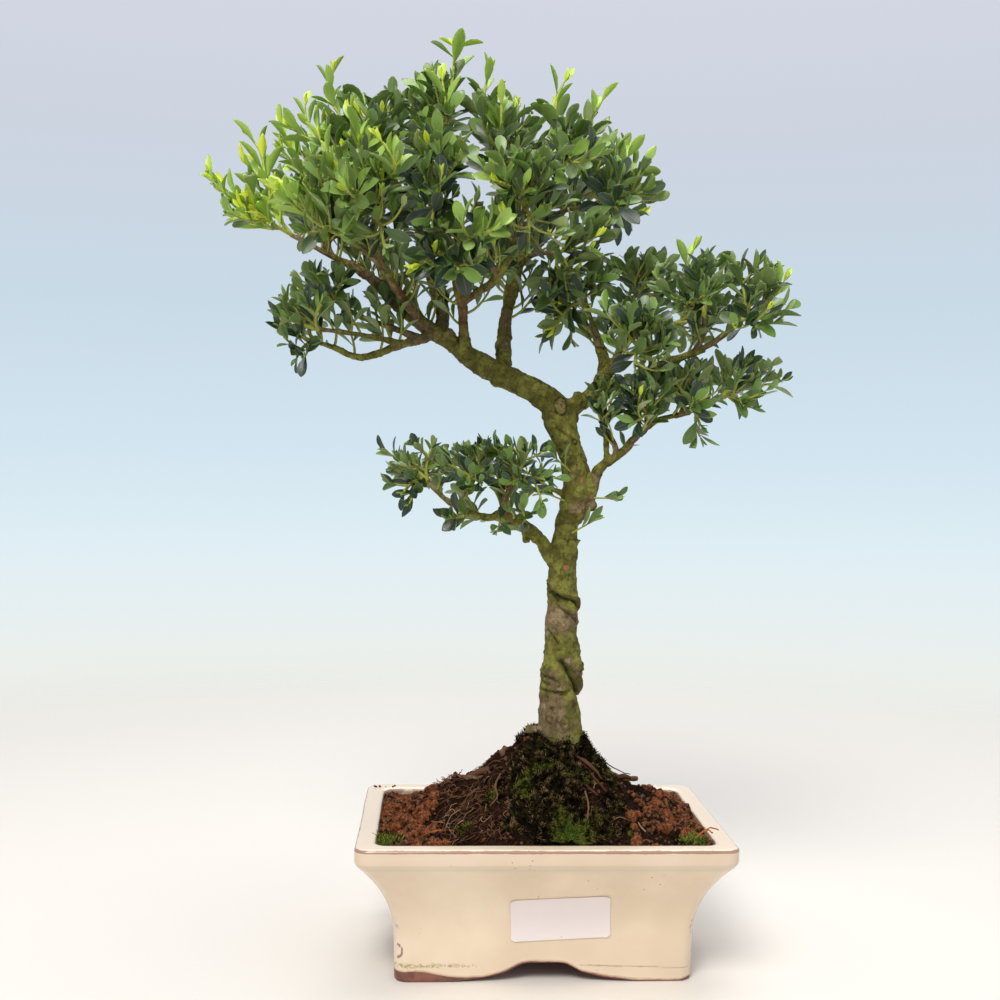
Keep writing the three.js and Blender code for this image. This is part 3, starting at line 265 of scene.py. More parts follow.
# Leafy shoots that grow straight from the limbs: how many, and from what share of the limb's length on
LIMB_SHOOTS = {
    "left_limb": (12, 0.5), "rear_leader": (11, 0.25), "upright_a": (10, 0.3), "upright_b": (10, 0.25),
    "upright_b_side": (9, 0.1), "front_left": (9, 0.15), "rear_left": (9, 0.15), "rear_right": (8, 0.2),
    "rear_right_side": (6, 0.1), "left_low": (5, 0.25), "left_low_upper": (5, 0.2),
    "left_low_outer": (3, 0.2), "right_limb": (1, 0.7), "right_a": (4, 0.4), "right_b": (6, 0.3),
    "right_d": (5, 0.3), "lower_right": (6, 0.5), "lower_left": (13, 0.35),
}

# Small leafy sprouts on the trunk: their feet and their tips
TRUNK_SPROUTS = [
    ((25, -4, 243), (37, -10, 243)), ((12, -5, 241), (1, -13, 245)), ((14, -6, 257), (6, -14, 263)),
    ((15, -5, 224), (26, -12, 231)),
]


def shade(red, green, blue):
    """A colour in linear light from its 8-bit screen values"""
    def linear(value):
        part = value / 255
        return part / 12.92 if part <= 0.04045 else ((part + 0.055) / 1.055) ** 2.4
    return linear(red), linear(green), linear(blue)


def size_setting(name, description, millimetres):
    return FloatProperty(name=name, description=description, default=millimetres * MM, subtype="DISTANCE",
                         unit="LENGTH", precision=4)


def colour_setting(name, description, red, green, blue):
    return FloatVectorProperty(name=name, description=description, default=shade(red, green, blue),
                               subtype="COLOR", size=3, min=0, max=1)


class BowlSettings(bpy.types.PropertyGroup):
    corner_radius: size_setting("Corner radius", "Radius of the bowl's upright corners", 7)
    rim_face: size_setting("Rim face", "Width of the flat rim seen from above", 9)
    foot_inset: size_setting("Foot inset", "How far the feet stand in from the rim", 19)
    cove_depth: size_setting("Cove depth", "How far the wall curves in under the rim band", 17.5)
    glaze: colour_setting("Glaze", "Cream glaze", 243, 224, 198)
    glaze_shade: colour_setting("Glaze, darker", "Cream glaze where it lies thick", 226, 203, 175)
    clay: colour_setting("Bare clay", "Fired clay where the glaze ends", 138, 88, 70)
    thin_glaze: colour_setting("Thin glaze", "Glaze that ran thin over an edge", 158, 116, 98)
    paper: colour_setting("Label paper", "Blank paper label", 235, 224, 221)


class SoilSettings(bpy.types.PropertyGroup):
    mound_height: size_setting("Mound height", "Height of the mound's peak over the shelf", 112)
    crumb_density: FloatProperty(name="Crumb density", description="Crumbs of peat on a square metre",
                                 default=150000)
    lump_density: FloatProperty(name="Lump density", description="Lumps of fired clay on a square metre",
                                default=95000)
    peat: colour_setting("Peat", "Moist potting soil", 32, 20, 13)
    fired_clay: colour_setting("Fired clay", "Red-brown granules", 176, 98, 58)
    rootlet: colour_setting("Rootlets", "Fine dry roots", 150, 106, 76)
    seed: IntProperty(name="Seed", description="Seed of the scattered pieces", default=5)


class MossSettings(bpy.types.PropertyGroup):
    sprig_density: FloatProperty(name="Sprig density", description="Moss sprigs on a square metre",
                                 default=900000)
    sprig_height: size_setting("Sprig height", "Height of the largest moss sprig", 3.3)
    moss_green: colour_setting("Moss", "Fresh moss", 156, 162, 70)
    moss_old: colour_setting("Moss, old", "Old olive moss in the cushion", 100, 92, 46)
    moss_deep: colour_setting("Moss, deep", "Dead brown moss under the fresh tips", 58, 43, 26)
    seed: IntProperty(name="Seed", description="Seed of the scattered sprigs", default=8)


class WoodSettings(bpy.types.PropertyGroup):
    grain_size: size_setting("Finest bark detail", "Size of the finest modelled detail of the bark", 0.8)
    bark: colour_setting("Bark", "Grey-brown bark", 140, 122, 88)
    algae: colour_setting("Algae", "Green film on the bark", 106, 106, 36)
    ruddy: colour_setting("Ruddy bark", "Red-brown flaking bark of the limbs", 116, 78, 52)
    wound: colour_setting("Wound", "Healed cuts", 158, 138, 92)


class LeafSettings(bpy.types.PropertyGroup):
    leaf_length: size_setting("Leaf length", "Length of a grown leaf", 19.8)
    leaf_gap: size_setting("Leaf gap", "Distance between leaves along a shoot", 3.3)
    shoot_radius: size_setting("Shoot radius", "Radius of a leafy shoot at its foot", 0.95)
    leaf_top: colour_setting("Leaf, upper side", "Grown leaf from above", 19, 40, 24)
    leaf_light: colour_setting("Leaf, lighter", "Lighter grown leaf from above", 118, 152, 62)
    leaf_under: colour_setting("Leaf, underside", "Grown leaf from below", 146, 162, 98)
    leaf_new: colour_setting("New leaf", "Leaf of a new shoot", 166, 200, 84)
    leaf_bud: colour_setting("Leaf bud", "Folded leaves at the end of a new shoot", 222, 234, 66)
    stem_old: colour_setting("Older stem", "Stem of a grown shoot", 156, 160, 64)
    stem_new: colour_setting("New stem", "Stem of a new shoot", 186, 198, 84)
    seed: IntProperty(name="Seed", description="Seed of the leaves' places", default=21)


def settings(name):
    return getattr(bpy.context.scene, "bonsai_" + name)


def in_frame(points):
    """Points in millimetres from the middle of the bowl's feet, placed in the frame in metres"""
    return np.asarray(points, float) * MM + np.array(BOWL_CENTRE)


def from_frame(points):
    return (np.asarray(points, float) - np.array(BOWL_CENTRE)) / MM


LOWEST, HIGHEST = from_frame(BOX_LOW), from_frame(BOX_HIGH)


def set_attribute(mesh, name, values, kind="FLOAT", domain="POINT"):
    layer = mesh.attributes.new(name, kind, domain)
    layer.data.foreach_set("vector" if kind == "FLOAT_VECTOR" else "value",
                           np.asarray(values, int if kind == "INT" else float).ravel())


def new_object(name, mesh):
    obj = bpy.data.objects.new(name, mesh)
    bpy.context.scene.collection.objects.link(obj)
    return obj


def mesh_object(name, points, faces, attributes=None, edges=()):
    """A smooth-shaded mesh object from points in millimetres"""
    mesh = bpy.data.meshes.new(name)
    mesh.from_pydata(in_frame(points).tolist(), list(edges), [list(map(int, face)) for face in faces])
    for key, values in (attributes or {}).items():
        set_attribute(mesh, key, values)
    mesh.shade_smooth()
    return new_object(name, mesh)


def raw_points(mesh):
    points = np.zeros(len(mesh.vertices) * 3, np.float32)
    mesh.vertices.foreach_get("co", points)
    return points.reshape(-1, 3)


def mesh_points(mesh):
    """A mesh's points in millimetres"""
    return from_frame(raw_points(mesh))


def move_points(mesh, points):
    mesh.vertices.foreach_set("co", in_frame(points).astype(np.float32).ravel())
    mesh.update()


def point_normals(mesh):
    normals = np.zeros(len(mesh.vertices) * 3, np.float32)
    mesh.vertex_normals.foreach_get("vector", normals)
    return normals.reshape(-1, 3).astype(float)


def present(obj, finish=None, replaced=()):
    """Gives a finished piece its material and its place in the frame"""
    if finish:
        obj.data.materials.clear()
        obj.data.materials.append(finish)
    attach(obj, "root")
    if replaced:
        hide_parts(*replaced)
    return obj


def evaluated(obj, keep_layers=True):
    """The mesh that an object's modifiers make of it"""
    depsgraph = bpy.context.evaluated_depsgraph_get()
    return bpy.data.meshes.new_from_object(obj.evaluated_get(depsgraph), depsgraph=depsgraph,
                                           preserve_all_data_layers=keep_layers)


def discard(*objects):
    for obj in objects:
        bpy.data.objects.remove(obj)


def cell_values(cells, seed):
    """A repeatable number from 0 to 1 for each whole-numbered cell"""
    mask = 0x7FFFFFFF
    x, y, z = cells.T
    mixed = (x * 73856093 ^ y * 19349663 ^ z * 83492791 ^ (seed + 1) * 40503) & mask
    mixed = (mixed ^ (mixed >> 13)) * 60493 & mask
    mixed = (mixed ^ (mixed >> 11)) * 19379 & mask
    return ((mixed ^ (mixed >> 15)) & 0xFFFF) / 0xFFFF


def unevenness(points, size, seed=0):
    """Smooth noise from -1 to 1 at points, with waves about size across"""
    scaled = np.asarray(points, float) / size + 500
    low = np.floor(scaled).astype(np.int64)
    part = scaled - low
    part = part * part * (3 - 2 * part)
    total = np.zeros(len(scaled))
    for corner in itertools.product((0, 1), repeat=3):
        weight = np.prod(np.where(np.array(corner) == 1, part, 1 - part), axis=1)
        total += weight * cell_values(low + np.array(corner), seed)
    return 2 * total - 1


def level_unevenness(x, y, size, seed):
    """The same noise on level ground"""
    return unevenness(np.column_stack([x, y, np.zeros(len(x))]), size, seed)


def soft_step(value, low, high):
    part = np.clip((np.asarray(value, float) - low) / (high - low), 0, 1)
    return part * part * (3 - 2 * part)


def hump(distance, width):
    return np.exp(-((np.asarray(distance, float) / width) ** 2))


def mound_of(x, y, centre_x, centre_y, half_x, half_y):
    """A hump over level ground that is 1 at its centre"""
    return hump(np.hypot((x - centre_x) / half_x, (y - centre_y) / half_y), 1)


def smooth_path(rows, step):
    """Rows of x, y, z and radius, joined by a smooth curve and cut into steps"""
    rows = np.asarray(rows, float)
    ends = np.vstack([2 * rows[0] - rows[1], rows, 2 * rows[-1] - rows[-2]])
    ends[[0, -1], 3] = rows[[0, -1], 3]
    path = []
    for a, b, c, d in zip(ends, ends[1:], ends[2:], ends[3:]):
        count = max(1, math.ceil(np.linalg.norm((c - b)[:3]) / step))
        for t in np.arange(count) / count:
            path.append(0.5 * (2 * b + (c - a) * t + (2 * a - 5 * b + 4 * c - d) * t ** 2
                               + (3 * b - a - 3 * c + d) * t ** 3))
    path.append(rows[-1])
    return np.array(path)


def on_bend(start, bend, end, t):
    return start * (1 - t) ** 2 + bend * (2 * t * (1 - t)) + end * t ** 2


def bent_line(start, bend, end, count):
    """Points on a curve with one bend"""
    return [on_bend(start, bend, end, i / count) for i in range(count + 1)]


class Nodes:
    """Short calls for building a node tree"""

    def __init__(self, tree):
        self.tree = tree

    def add(self, kind, inputs=None, **values):
        node = self.tree.nodes.new(kind)
        for key, value in values.items():
            setattr(node, key, value)
        for key, value in (inputs or {}).items():
            if isinstance(value, bpy.types.NodeSocket):
                self.tree.links.new(value, node.inputs[key])
            else:
                node.inputs[key].default_value = value
        return node

    def out(self, kind, inputs=None, output=0, **values):
        """One output of a new node"""
        return self.add(kind, inputs, **values).outputs[output]


class Shape(Nodes):
    """A Geometry Nodes tree with named inputs"""

    def __init__(self, name, sockets):
        super().__init__(bpy.data.node_groups.new(name, "GeometryNodeTree"))
        interface = self.tree.interface
        interface.new_socket("Geometry", in_out="INPUT", socket_type="NodeSocketGeometry")
        for socket, kind, default in sockets:
            item = interface.new_socket(socket, in_out="INPUT", socket_type="NodeSocket" + kind)
            if default is not None:
                item.default_value = default
        interface.new_socket("Geometry", in_out="OUTPUT", socket_type="NodeSocketGeometry")
        self.inputs = self.tree.nodes.new("NodeGroupInput").outputs

    def attribute(self, name, kind="FLOAT"):
        return self.out("GeometryNodeInputNamedAttribute", {"Name": name}, "Attribute", data_type=kind)

    def times(self, a, b):
        return self.out("ShaderNodeMath", {0: a, 1: b}, operation="MULTIPLY")

    def chosen(self, collection):
        """The single objects of a collection, to be picked from"""
        return self.out("GeometryNodeCollectionInfo", {
            "Collection": self.inputs[collection], "Separate Children": True, "Reset Children": True})

    def stems(self):
        """Round stems swept along the lines that come in, as thick as their radius attribute says"""
        curve = self.out("GeometryNodeMeshToCurve", {"Mesh": self.inputs["Geometry"]})
        circle = self.out("GeometryNodeCurvePrimitiveCircle", {
            "Resolution": self.inputs["Sides"], "Radius": 1.0})
        swept = self.out("GeometryNodeCurveToMesh", {
            "Curve": curve, "Profile Curve": circle, "Scale": self.attribute("radius"), "Fill Caps": True})
        return self.out("GeometryNodeSetShadeSmooth", {"Geometry": swept})

    def finish(self, geometry, material, **where):
        """Ends the tree in real geometry with a material"""
        real = self.out("GeometryNodeRealizeInstances", {"Geometry": geometry})
        coloured = self.out("GeometryNodeSetMaterial", {
            "Geometry": real, "Material": self.inputs[material], **where})
        self.add("NodeGroupOutput", {"Geometry": coloured})
        return self.tree


def grown(source, tree, name, **inputs):
    """The plain mesh object that a node tree makes from a source object, which is then removed"""
    modifier = source.modifiers.new(tree.name, "NODES")
    modifier.node_group = tree
    for item in tree.interface.items_tree:
        key = item.name.lower().replace(" ", "_")
        if item.in_out == "INPUT" and key in inputs:
            modifier[item.identifier] = inputs[key]
    mesh = evaluated(source)
    mesh.name = name
    source.modifiers.remove(modifier)
    discard(source)
    return new_object(name, mesh)


def stem_tree():
    """Round stems along lines"""
    shape = Shape("Round stems", [("Sides", "Int", 6), ("Bark", "Material", None)])
    return shape.finish(shape.stems(), "Bark")


def spray_tree():
    """Leafy shoots: stems along lines, and leaves set on points by their turn, size and shape"""
    shape = Shape("Leafy shoots", [
        ("Leaf places", "Object", None), ("Leaf shapes", "Collection", None), ("Leaf length", "Float", 0.017),
        ("Sides", "Int", 5), ("Stem finish", "Material", None), ("Leaf finish", "Material", None)])
    stems = shape.out("GeometryNodeSetMaterial", {
        "Geometry": shape.stems(), "Material": shape.inputs["Stem finish"]})
    places = shape.out("GeometryNodeObjectInfo", {"Object": shape.inputs["Leaf places"]}, "Geometry")
    turn = shape.out("FunctionNodeEulerToRotation", {"Euler": shape.attribute("turn", "FLOAT_VECTOR")})
    leaves = shape.out("GeometryNodeInstanceOnPoints", {
        "Points": places, "Instance": shape.chosen("Leaf shapes"), "Pick Instance": True,
        "Instance Index": shape.attribute("leaf_shape", "INT"), "Rotation": turn,
        "Scale": shape.times(shape.attribute("size"), shape.inputs["Leaf length"])})
    both = shape.add("GeometryNodeJoinGeometry")
    for part in (stems, leaves):
        shape.tree.links.new(part, both.inputs[0])
    return shape.finish(both.outputs[0], "Leaf finish", Selection=shape.attribute("blade", "BOOLEAN"))


def scatter_tree():
    """Small shapes strewn where a surface's cover attribute is high, each turned and sized at random"""
    shape = Shape("Strewn pieces", [
        ("Shapes", "Collection", None), ("Density", "Float", 1000.0), ("Cover", "String", "cover"),
        ("Smallest", "Float", 0.001), ("Largest", "Float", 0.002), ("Lean", "Float", 0.4), ("Seed", "Int", 1),
        ("Finish", "Material", None)])
    seed, lean = shape.inputs["Seed"], shape.inputs["Lean"]
    density = shape.times(shape.attribute(shape.inputs["Cover"]), shape.inputs["Density"])
    points = shape.add("GeometryNodeDistributePointsOnFaces", {
        "Mesh": shape.inputs["Geometry"], "Density": density, "Seed": seed})
    back = shape.times(lean, -1.0)
    least = shape.out("ShaderNodeCombineXYZ", {"X": back, "Y": back, "Z": 0.0})
    most = shape.out("ShaderNodeCombineXYZ", {"X": lean, "Y": lean, "Z": math.tau})
    tilt = shape.out("FunctionNodeRandomValue", {"Min": least, "Max": most, "Seed": seed},
                     data_type="FLOAT_VECTOR")
    rotation = shape.out("FunctionNodeRotateRotation", {
        "Rotation": points.outputs["Rotation"],
        "Rotate By": shape.out("FunctionNodeEulerToRotation", {"Euler": tilt})}, rotation_space="LOCAL")
    size = shape.out("FunctionNodeRandomValue", {
        2: shape.inputs["Smallest"], 3: shape.inputs["Largest"], "Seed": seed}, 1, data_type="FLOAT")
    pick = shape.out("FunctionNodeRandomValue", {4: 0, 5: 1000, "Seed": seed}, 2, data_type="INT")
    strewn = shape.out("GeometryNodeInstanceOnPoints", {
        "Points": points.outputs["Points"], "Instance": shape.chosen("Shapes"), "Pick Instance": True,
        "Instance Index": pick, "Rotation": rotation, "Scale": size})
    chance = shape.out("FunctionNodeRandomValue", {2: 0.0, 3: 1.0, "Seed": seed}, 1, data_type="FLOAT")
    tinted = shape.out("GeometryNodeStoreNamedAttribute", {
        "Geometry": strewn, "Name": "tint", "Value": chance}, data_type="FLOAT", domain="INSTANCE")
    return shape.finish(tinted, "Finish")


class Mask:
    """A number in a material's tree, so that sums of such numbers can be written as sums"""

    def __init__(self, finish, socket):
        self.finish, self.socket = finish, socket

    def __add__(self, other):
        return self.finish.math("ADD", self, other)

    def __sub__(self, other):
        return self.finish.math("SUBTRACT", self, other)

    def __rsub__(self, other):
        return self.finish.math("SUBTRACT", other, self)

    def __mul__(self, other):
        return self.finish.math("MULTIPLY", self, other)

    def __abs__(self):
        return self.finish.math("ABSOLUTE", self)

    def step(self, low, high):
        """A soft step, from 0 at low to 1 at high"""
        return self.finish.number("ShaderNodeMapRange", {"Value": self, "From Min": low, "From Max": high},
                                  interpolation_type="SMOOTHSTEP")


class Finish(Nodes):
    """A material with one Principled shader, painted in layers that read the object's own coordinates"""

    def __init__(self, name, colour, **sockets):
        self.material = bpy.data.materials.new(name)
        self.material.use_nodes = True
        super().__init__(self.material.node_tree)
        self.shader = self.tree.nodes["Principled BSDF"]
        for key, value in sockets.items():
            self.shader.inputs[key.replace("_", " ")].default_value = value
        self.place = self.add("ShaderNodeTexCoord").outputs["Object"]
        self.colour = colour

    def add(self, kind, inputs=None, **values):
        plain = {key: value.socket if isinstance(value, Mask) else value
                 for key, value in (inputs or {}).items()}
        return super().add(kind, plain, **values)

    def number(self, kind, inputs=None, output=0, **values):
        return Mask(self, self.out(kind, inputs, output, **values))

    def math(self, operation, a, b=0.0):
        return self.number("ShaderNodeMath", {0: a, 1: b}, operation=operation)

    def attribute(self, name):
        return self.number("ShaderNodeAttribute", output="Fac", attribute_name=name)

    def noise(self, scale, detail=3.0, place=None, roughness=0.55):
        return self.number("ShaderNodeTexNoise", {
            "Vector": place or self.place, "Scale": scale, "Detail": detail, "Roughness": roughness}, "Fac")

    def dots(self, scale, least, most):
        """Round spots, one in each cell of a pattern"""
        cells = self.number("ShaderNodeTexVoronoi", {"Vector": self.place, "Scale": scale}, "Distance")
        return 1 - cells.step(least, most)

    def stretched(self, x, y, z):
        return self.out("ShaderNodeMapping", {"Vector": self.place, "Scale": (x, y, z)})

    def mix(self, mask, first, second):
        def colour(value):
            return value if isinstance(value, bpy.types.NodeSocket) else (*value, 1.0)
        return self.out("ShaderNodeMix", {0: mask, 6: colour(first), 7: colour(second)}, 2, data_type="RGBA")

    def paint(self, colour, mask):
        """Lays a colour over those so far, as strongly as the mask says"""
        self.colour = self.mix(mask, self.colour, colour)

    def darken(self, mask, amount):
        self.paint((0.0, 0.0, 0.0), mask * amount)

    def link(self, value, socket):
        self.tree.links.new(value, self.shader.inputs[socket])

    def done(self, relief=None, distance=0.0, strength=1.0):
        """The material, with its colour and its fine relief joined to the shader"""
        self.link(self.colour, "Base Color")
        if relief:
            self.link(self.out("ShaderNodeBump", {
                "Height": relief, "Distance": distance, "Strength": strength}), "Normal")
        return self.material


# Heights on the bowl in metres that its painted shade and painted light go by: the fold under the rim band,
# and where the rim band and the flat top of the rim set in
FOLD_Z = 0.0622
BAND_Z = (0.0625, 0.064)
RIM_TOP_Z = (0.0708, 0.0716)


def glaze_finish():
    """Cream glaze with thin brown edges, specks, stains and bare clay at the foot, with painted shade in the
    fold under the rim band, on the rim band and on the inner wall, and painted light on the rim's flat top
    """
    look = settings("bowl")
    finish = Finish("cream glaze", look.glaze, IOR=1.5, Coat_Weight=0.35, Coat_Roughness=0.08)
    z = finish.number("ShaderNodeSeparateXYZ", {"Vector": finish.place}, "Z")
    finish.paint(look.glaze_shade, finish.noise(14, 4).step(0.36, 0.68))
    finish.paint(look.glaze_shade, (1 - z.step(0.0, 0.07)) * 0.3)
    # Painted shade: a cool grey band in the fold under the overhanging rim band
    finish.paint(shade(178, 188, 176), (1 - abs(z - FOLD_Z).step(0.0, 0.0022)) * 0.34)
    # Painted shade: the inner wall of the mouth, under the rim, in a darker copy of the cream glaze
    finish.paint(shade(166, 152, 128), finish.attribute("inner_wall") * 0.85)
    # Painted shade: the upright rim band darker than the wall, as the light falls from above
    finish.paint(shade(208, 184, 158), z.step(*BAND_Z) * 0.5)
    # Painted light: the flat top of the rim lighter, as it faces the light from above
    finish.paint(shade(249, 229, 202), z.step(*RIM_TOP_Z) * 0.8)

    ragged = (finish.noise(210, 3) - 0.5) * 1.5
    finish.paint(look.thin_glaze, (finish.attribute("rim_edge") + ragged * 0.5).step(0.5, 0.72) * 0.9)
    finish.paint(shade(134, 102, 84), (finish.attribute("lip_edge") + ragged).step(0.6, 0.85) * 0.75)
    finish.paint(shade(124, 92, 80), (finish.attribute("chip") + ragged * 0.25).step(0.55, 0.7) * 0.8)
    finish.paint(shade(140, 122, 92), (finish.attribute("crease") + ragged * 0.5).step(0.5, 0.95) * 0.55)

    blotches = finish.noise(480, 5, finish.stretched(1.0, 1.0, 0.55), 0.7).step(0.56, 0.64)
    worn = (finish.attribute("corner_wear") + ragged * 0.5).step(0.5, 0.9)
    finish.paint(shade(104, 92, 80), blotches * worn * 0.7)
    finish.paint(shade(84, 66, 52), finish.dots(420, 0.1, 0.2) * finish.noise(46, 2).step(0.6, 0.7) * 0.8)
    stain = finish.attribute("algae_stain")
    flecks = (finish.noise(700, 6, roughness=0.75) + stain * 0.2).step(0.6, 0.78)
    finish.paint(shade(142, 132, 58), flecks * stain * 0.8)

    edge = finish.attribute("above_edge") + (finish.noise(120, 3) - 0.5) * 0.0016
    left = edge - finish.attribute("glaze_edge")
    bare = 1 - left.step(-0.0002, 0.00025)
    finish.paint(shade(196, 158, 126), (1 - left.step(0.0002, 0.0011)) * 0.75)
    finish.paint(finish.mix(finish.noise(160, 5).step(0.35, 0.7), look.clay, shade(106, 66, 52)), bare)
    finish.link(finish.out("ShaderNodeMapRange", {"Value": bare, "To Min": 0.22, "To Max": 0.8}), "Roughness")
    return finish.done(finish.noise(900, 3) * (bare + 0.05) + finish.noise(60, 3) * 0.3, 0.0004, 0.6)


def paper_finish():
    """Blank paper with a few faint specks"""
    finish = Finish("label paper", settings("bowl").paper, Roughness=0.55)
    finish.paint(shade(214, 200, 190), finish.noise(70, 4) * 0.12)
    rare = finish.noise(90, 1).step(0.62, 0.7)
    finish.paint(shade(150, 132, 116), finish.dots(260, 0.05, 0.1) * rare * 0.5)
    return finish.done(finish.noise(1400, 2), 0.00006, 0.5)


def earth_finish():
    """Moist peat, nearly black in patches"""
    finish = Finish("moist peat", settings("soil").peat, Roughness=0.95, Specular_IOR_Level=0.05)
    finish.paint(shade(54, 34, 22), finish.noise(260, 5).step(0.36, 0.72))
    finish.paint(shade(16, 10, 7), finish.noise(70, 3).step(0.5, 0.75))
    finish.darken(1 - finish.noise(900, 2).step(0.3, 0.6), 0.5)
    return finish.done(finish.noise(850, 5, roughness=0.7), 0.0012)


def crumb_finish():
    """Crumbs of peat from black to brown"""
    finish = Finish("peat crumbs", shade(16, 10, 7), Roughness=0.95, Specular_IOR_Level=0.06)
    tint = finish.attribute("tint")
    finish.paint(shade(60, 38, 25), tint)
    finish.paint(shade(112, 78, 54), tint.step(0.82, 0.9))
    finish.paint(shade(64, 44, 32), finish.noise(1500, 3) * 0.5)
    return finish.done(finish.noise(1800, 4), 0.0006)


def fired_clay_finish():
    """Granules of fired clay: dusty red-brown, rough as a rusk"""
    look = settings("soil")
    finish = Finish("fired clay granules", look.fired_clay, Roughness=0.95, Specular_IOR_Level=0.1)
    tint = finish.attribute("tint")
    finish.paint(shade(116, 62, 37), tint)
    finish.paint(shade(56, 36, 28), tint.step(0.8, 0.88))
    finish.paint(shade(214, 146, 98), finish.noise(420, 4).step(0.42, 0.66) * 0.6)
    finish.darken(1 - finish.noise(900, 5, roughness=0.75).step(0.4, 0.52), 0.75)
    return finish.done(finish.noise(800, 6, roughness=0.8), 0.0026)


def rootlet_finish():
    """Roots from dark brown to tan, a few of them pale or orange"""
    finish = Finish("fine roots", shade(74, 44, 30), Roughness=0.8, Specular_IOR_Level=0.15)
    tint = finish.attribute("tint")
    finish.paint(settings("soil").rootlet, tint.step(0.2, 1.0))
    finish.paint(shade(206, 172, 134), tint.step(0.88, 0.92))
    finish.paint(shade(186, 104, 54), tint.step(0.95, 0.98))
    finish.paint(shade(70, 48, 34), finish.noise(700, 3) * 0.35)
    return finish.done(finish.noise(1600, 3), 0.0003)


def moss_finish():
    """Moss: brown and dead below, olive to bright green at its tips, with painted shade in the gaps between
    its clumps and at the foot of each sprig
    """
    look = settings("moss")
    finish = Finish("moss", look.moss_deep, Roughness=0.85, Specular_IOR_Level=0.08)
    tint = finish.attribute("tint")
    bright = finish.attribute("bright")
    patch = finish.noise(85, 3) + tint * 0.3
    finish.paint(look.moss_old, patch.step(0.56, 0.78))
    finish.paint(shade(198, 164, 112), tint.step(0.88, 0.94))
    finish.paint(look.moss_green, (bright + patch * 0.55).step(0.62, 1.0))
    finish.paint(shade(118, 148, 58), bright.step(1.0, 1.6))
    finish.darken((bright * -1.0).step(-0.1, 0.4), 0.8)
    # Painted shade: the moss darkened in the gaps between its clumps
    clump = finish.noise(330, 4, roughness=0.6) + bright.step(0.8, 1.4) * 0.2
    finish.darken(1 - clump.step(0.42, 0.57), 0.94)
    finish.darken(1 - finish.noise(1000, 2).step(0.42, 0.6), 0.5)
    # Painted shade: each sprig darkened to near black towards its foot
    finish.darken(1 - finish.attribute("sprig_height"), 0.92)
    return finish.done()


def bark_finish():
    """Grey-brown bark under a green film, with ruddy flakes, thin cracks, dark seams and healed cuts, and
    painted shade in its seams, cracks, creases and hollows
    """
    look = settings("wood")
    finish = Finish("bark", look.bark, Roughness=0.88, Specular_IOR_Level=0.2)
    fibres = finish.noise(420, 5, finish.stretched(1.0, 1.0, 0.45))
    grime = finish.noise(430, 6, roughness=0.7)
    finish.paint(shade(112, 94, 66), fibres.step(0.36, 0.66))
    finish.paint(shade(162, 142, 106), finish.noise(130, 5).step(0.53, 0.6))
    film = finish.attribute("algae") + finish.noise(95, 6, roughness=0.6) * 1.25
    green = finish.mix(finish.noise(150, 4).step(0.44, 0.6), look.algae, shade(148, 150, 62))
    finish.paint(green, film.step(0.88, 1.04) * 0.8)
    ruddy = finish.attribute("ruddy") + finish.noise(190, 5) * 0.9
    finish.paint(look.ruddy, ruddy.step(0.85, 1.1) * 0.85)
    finish.paint(shade(62, 54, 32), grime.step(0.55, 0.66) * 0.5)
    wound = finish.attribute("wound")
    finish.paint(look.wound, wound * 0.85)
    finish.paint(shade(58, 48, 28), wound * finish.noise(620, 4).step(0.5, 0.58) * 0.8)
    finish.paint(shade(186, 122, 98), finish.attribute("scar") * 0.8)
    finish.paint(shade(58, 50, 32), finish.dots(480, 0.12, 0.24) * finish.noise(200, 2).step(0.5, 0.6) * 0.6)

    waver = finish.out("ShaderNodeTexNoise", {"Vector": finish.place, "Scale": 150, "Detail": 4}, "Color")
    drift = finish.out("ShaderNodeVectorMath", {0: waver, 1: (0.011, 0.011, 0.011)}, operation="MULTIPLY")
    bent = finish.out("ShaderNodeVectorMath", {0: finish.stretched(1.0, 1.0, 1.7), 1: drift}, operation="ADD")
    plates = finish.number("ShaderNodeTexVoronoi", {"Vector": bent, "Scale": 95}, "Distance",
                           feature="DISTANCE_TO_EDGE")
    # Cracks: dark fissures with painted shade in them
    crack = (1 - plates.step(0.008, 0.045)) * finish.noise(70, 2).step(0.56, 0.68)
    # Painted shade where the fibres sink, with the seams' dark and the shade of creases and hollows
    dark = finish.attribute("seam") + (1 - fibres.step(0.22, 0.42)) * 0.4
    finish.darken(finish.math("MAXIMUM", dark, crack * 0.6), 0.9)
    return finish.done(fibres + grime + finish.noise(1100, 4) * 0.6 - crack, 0.0018)


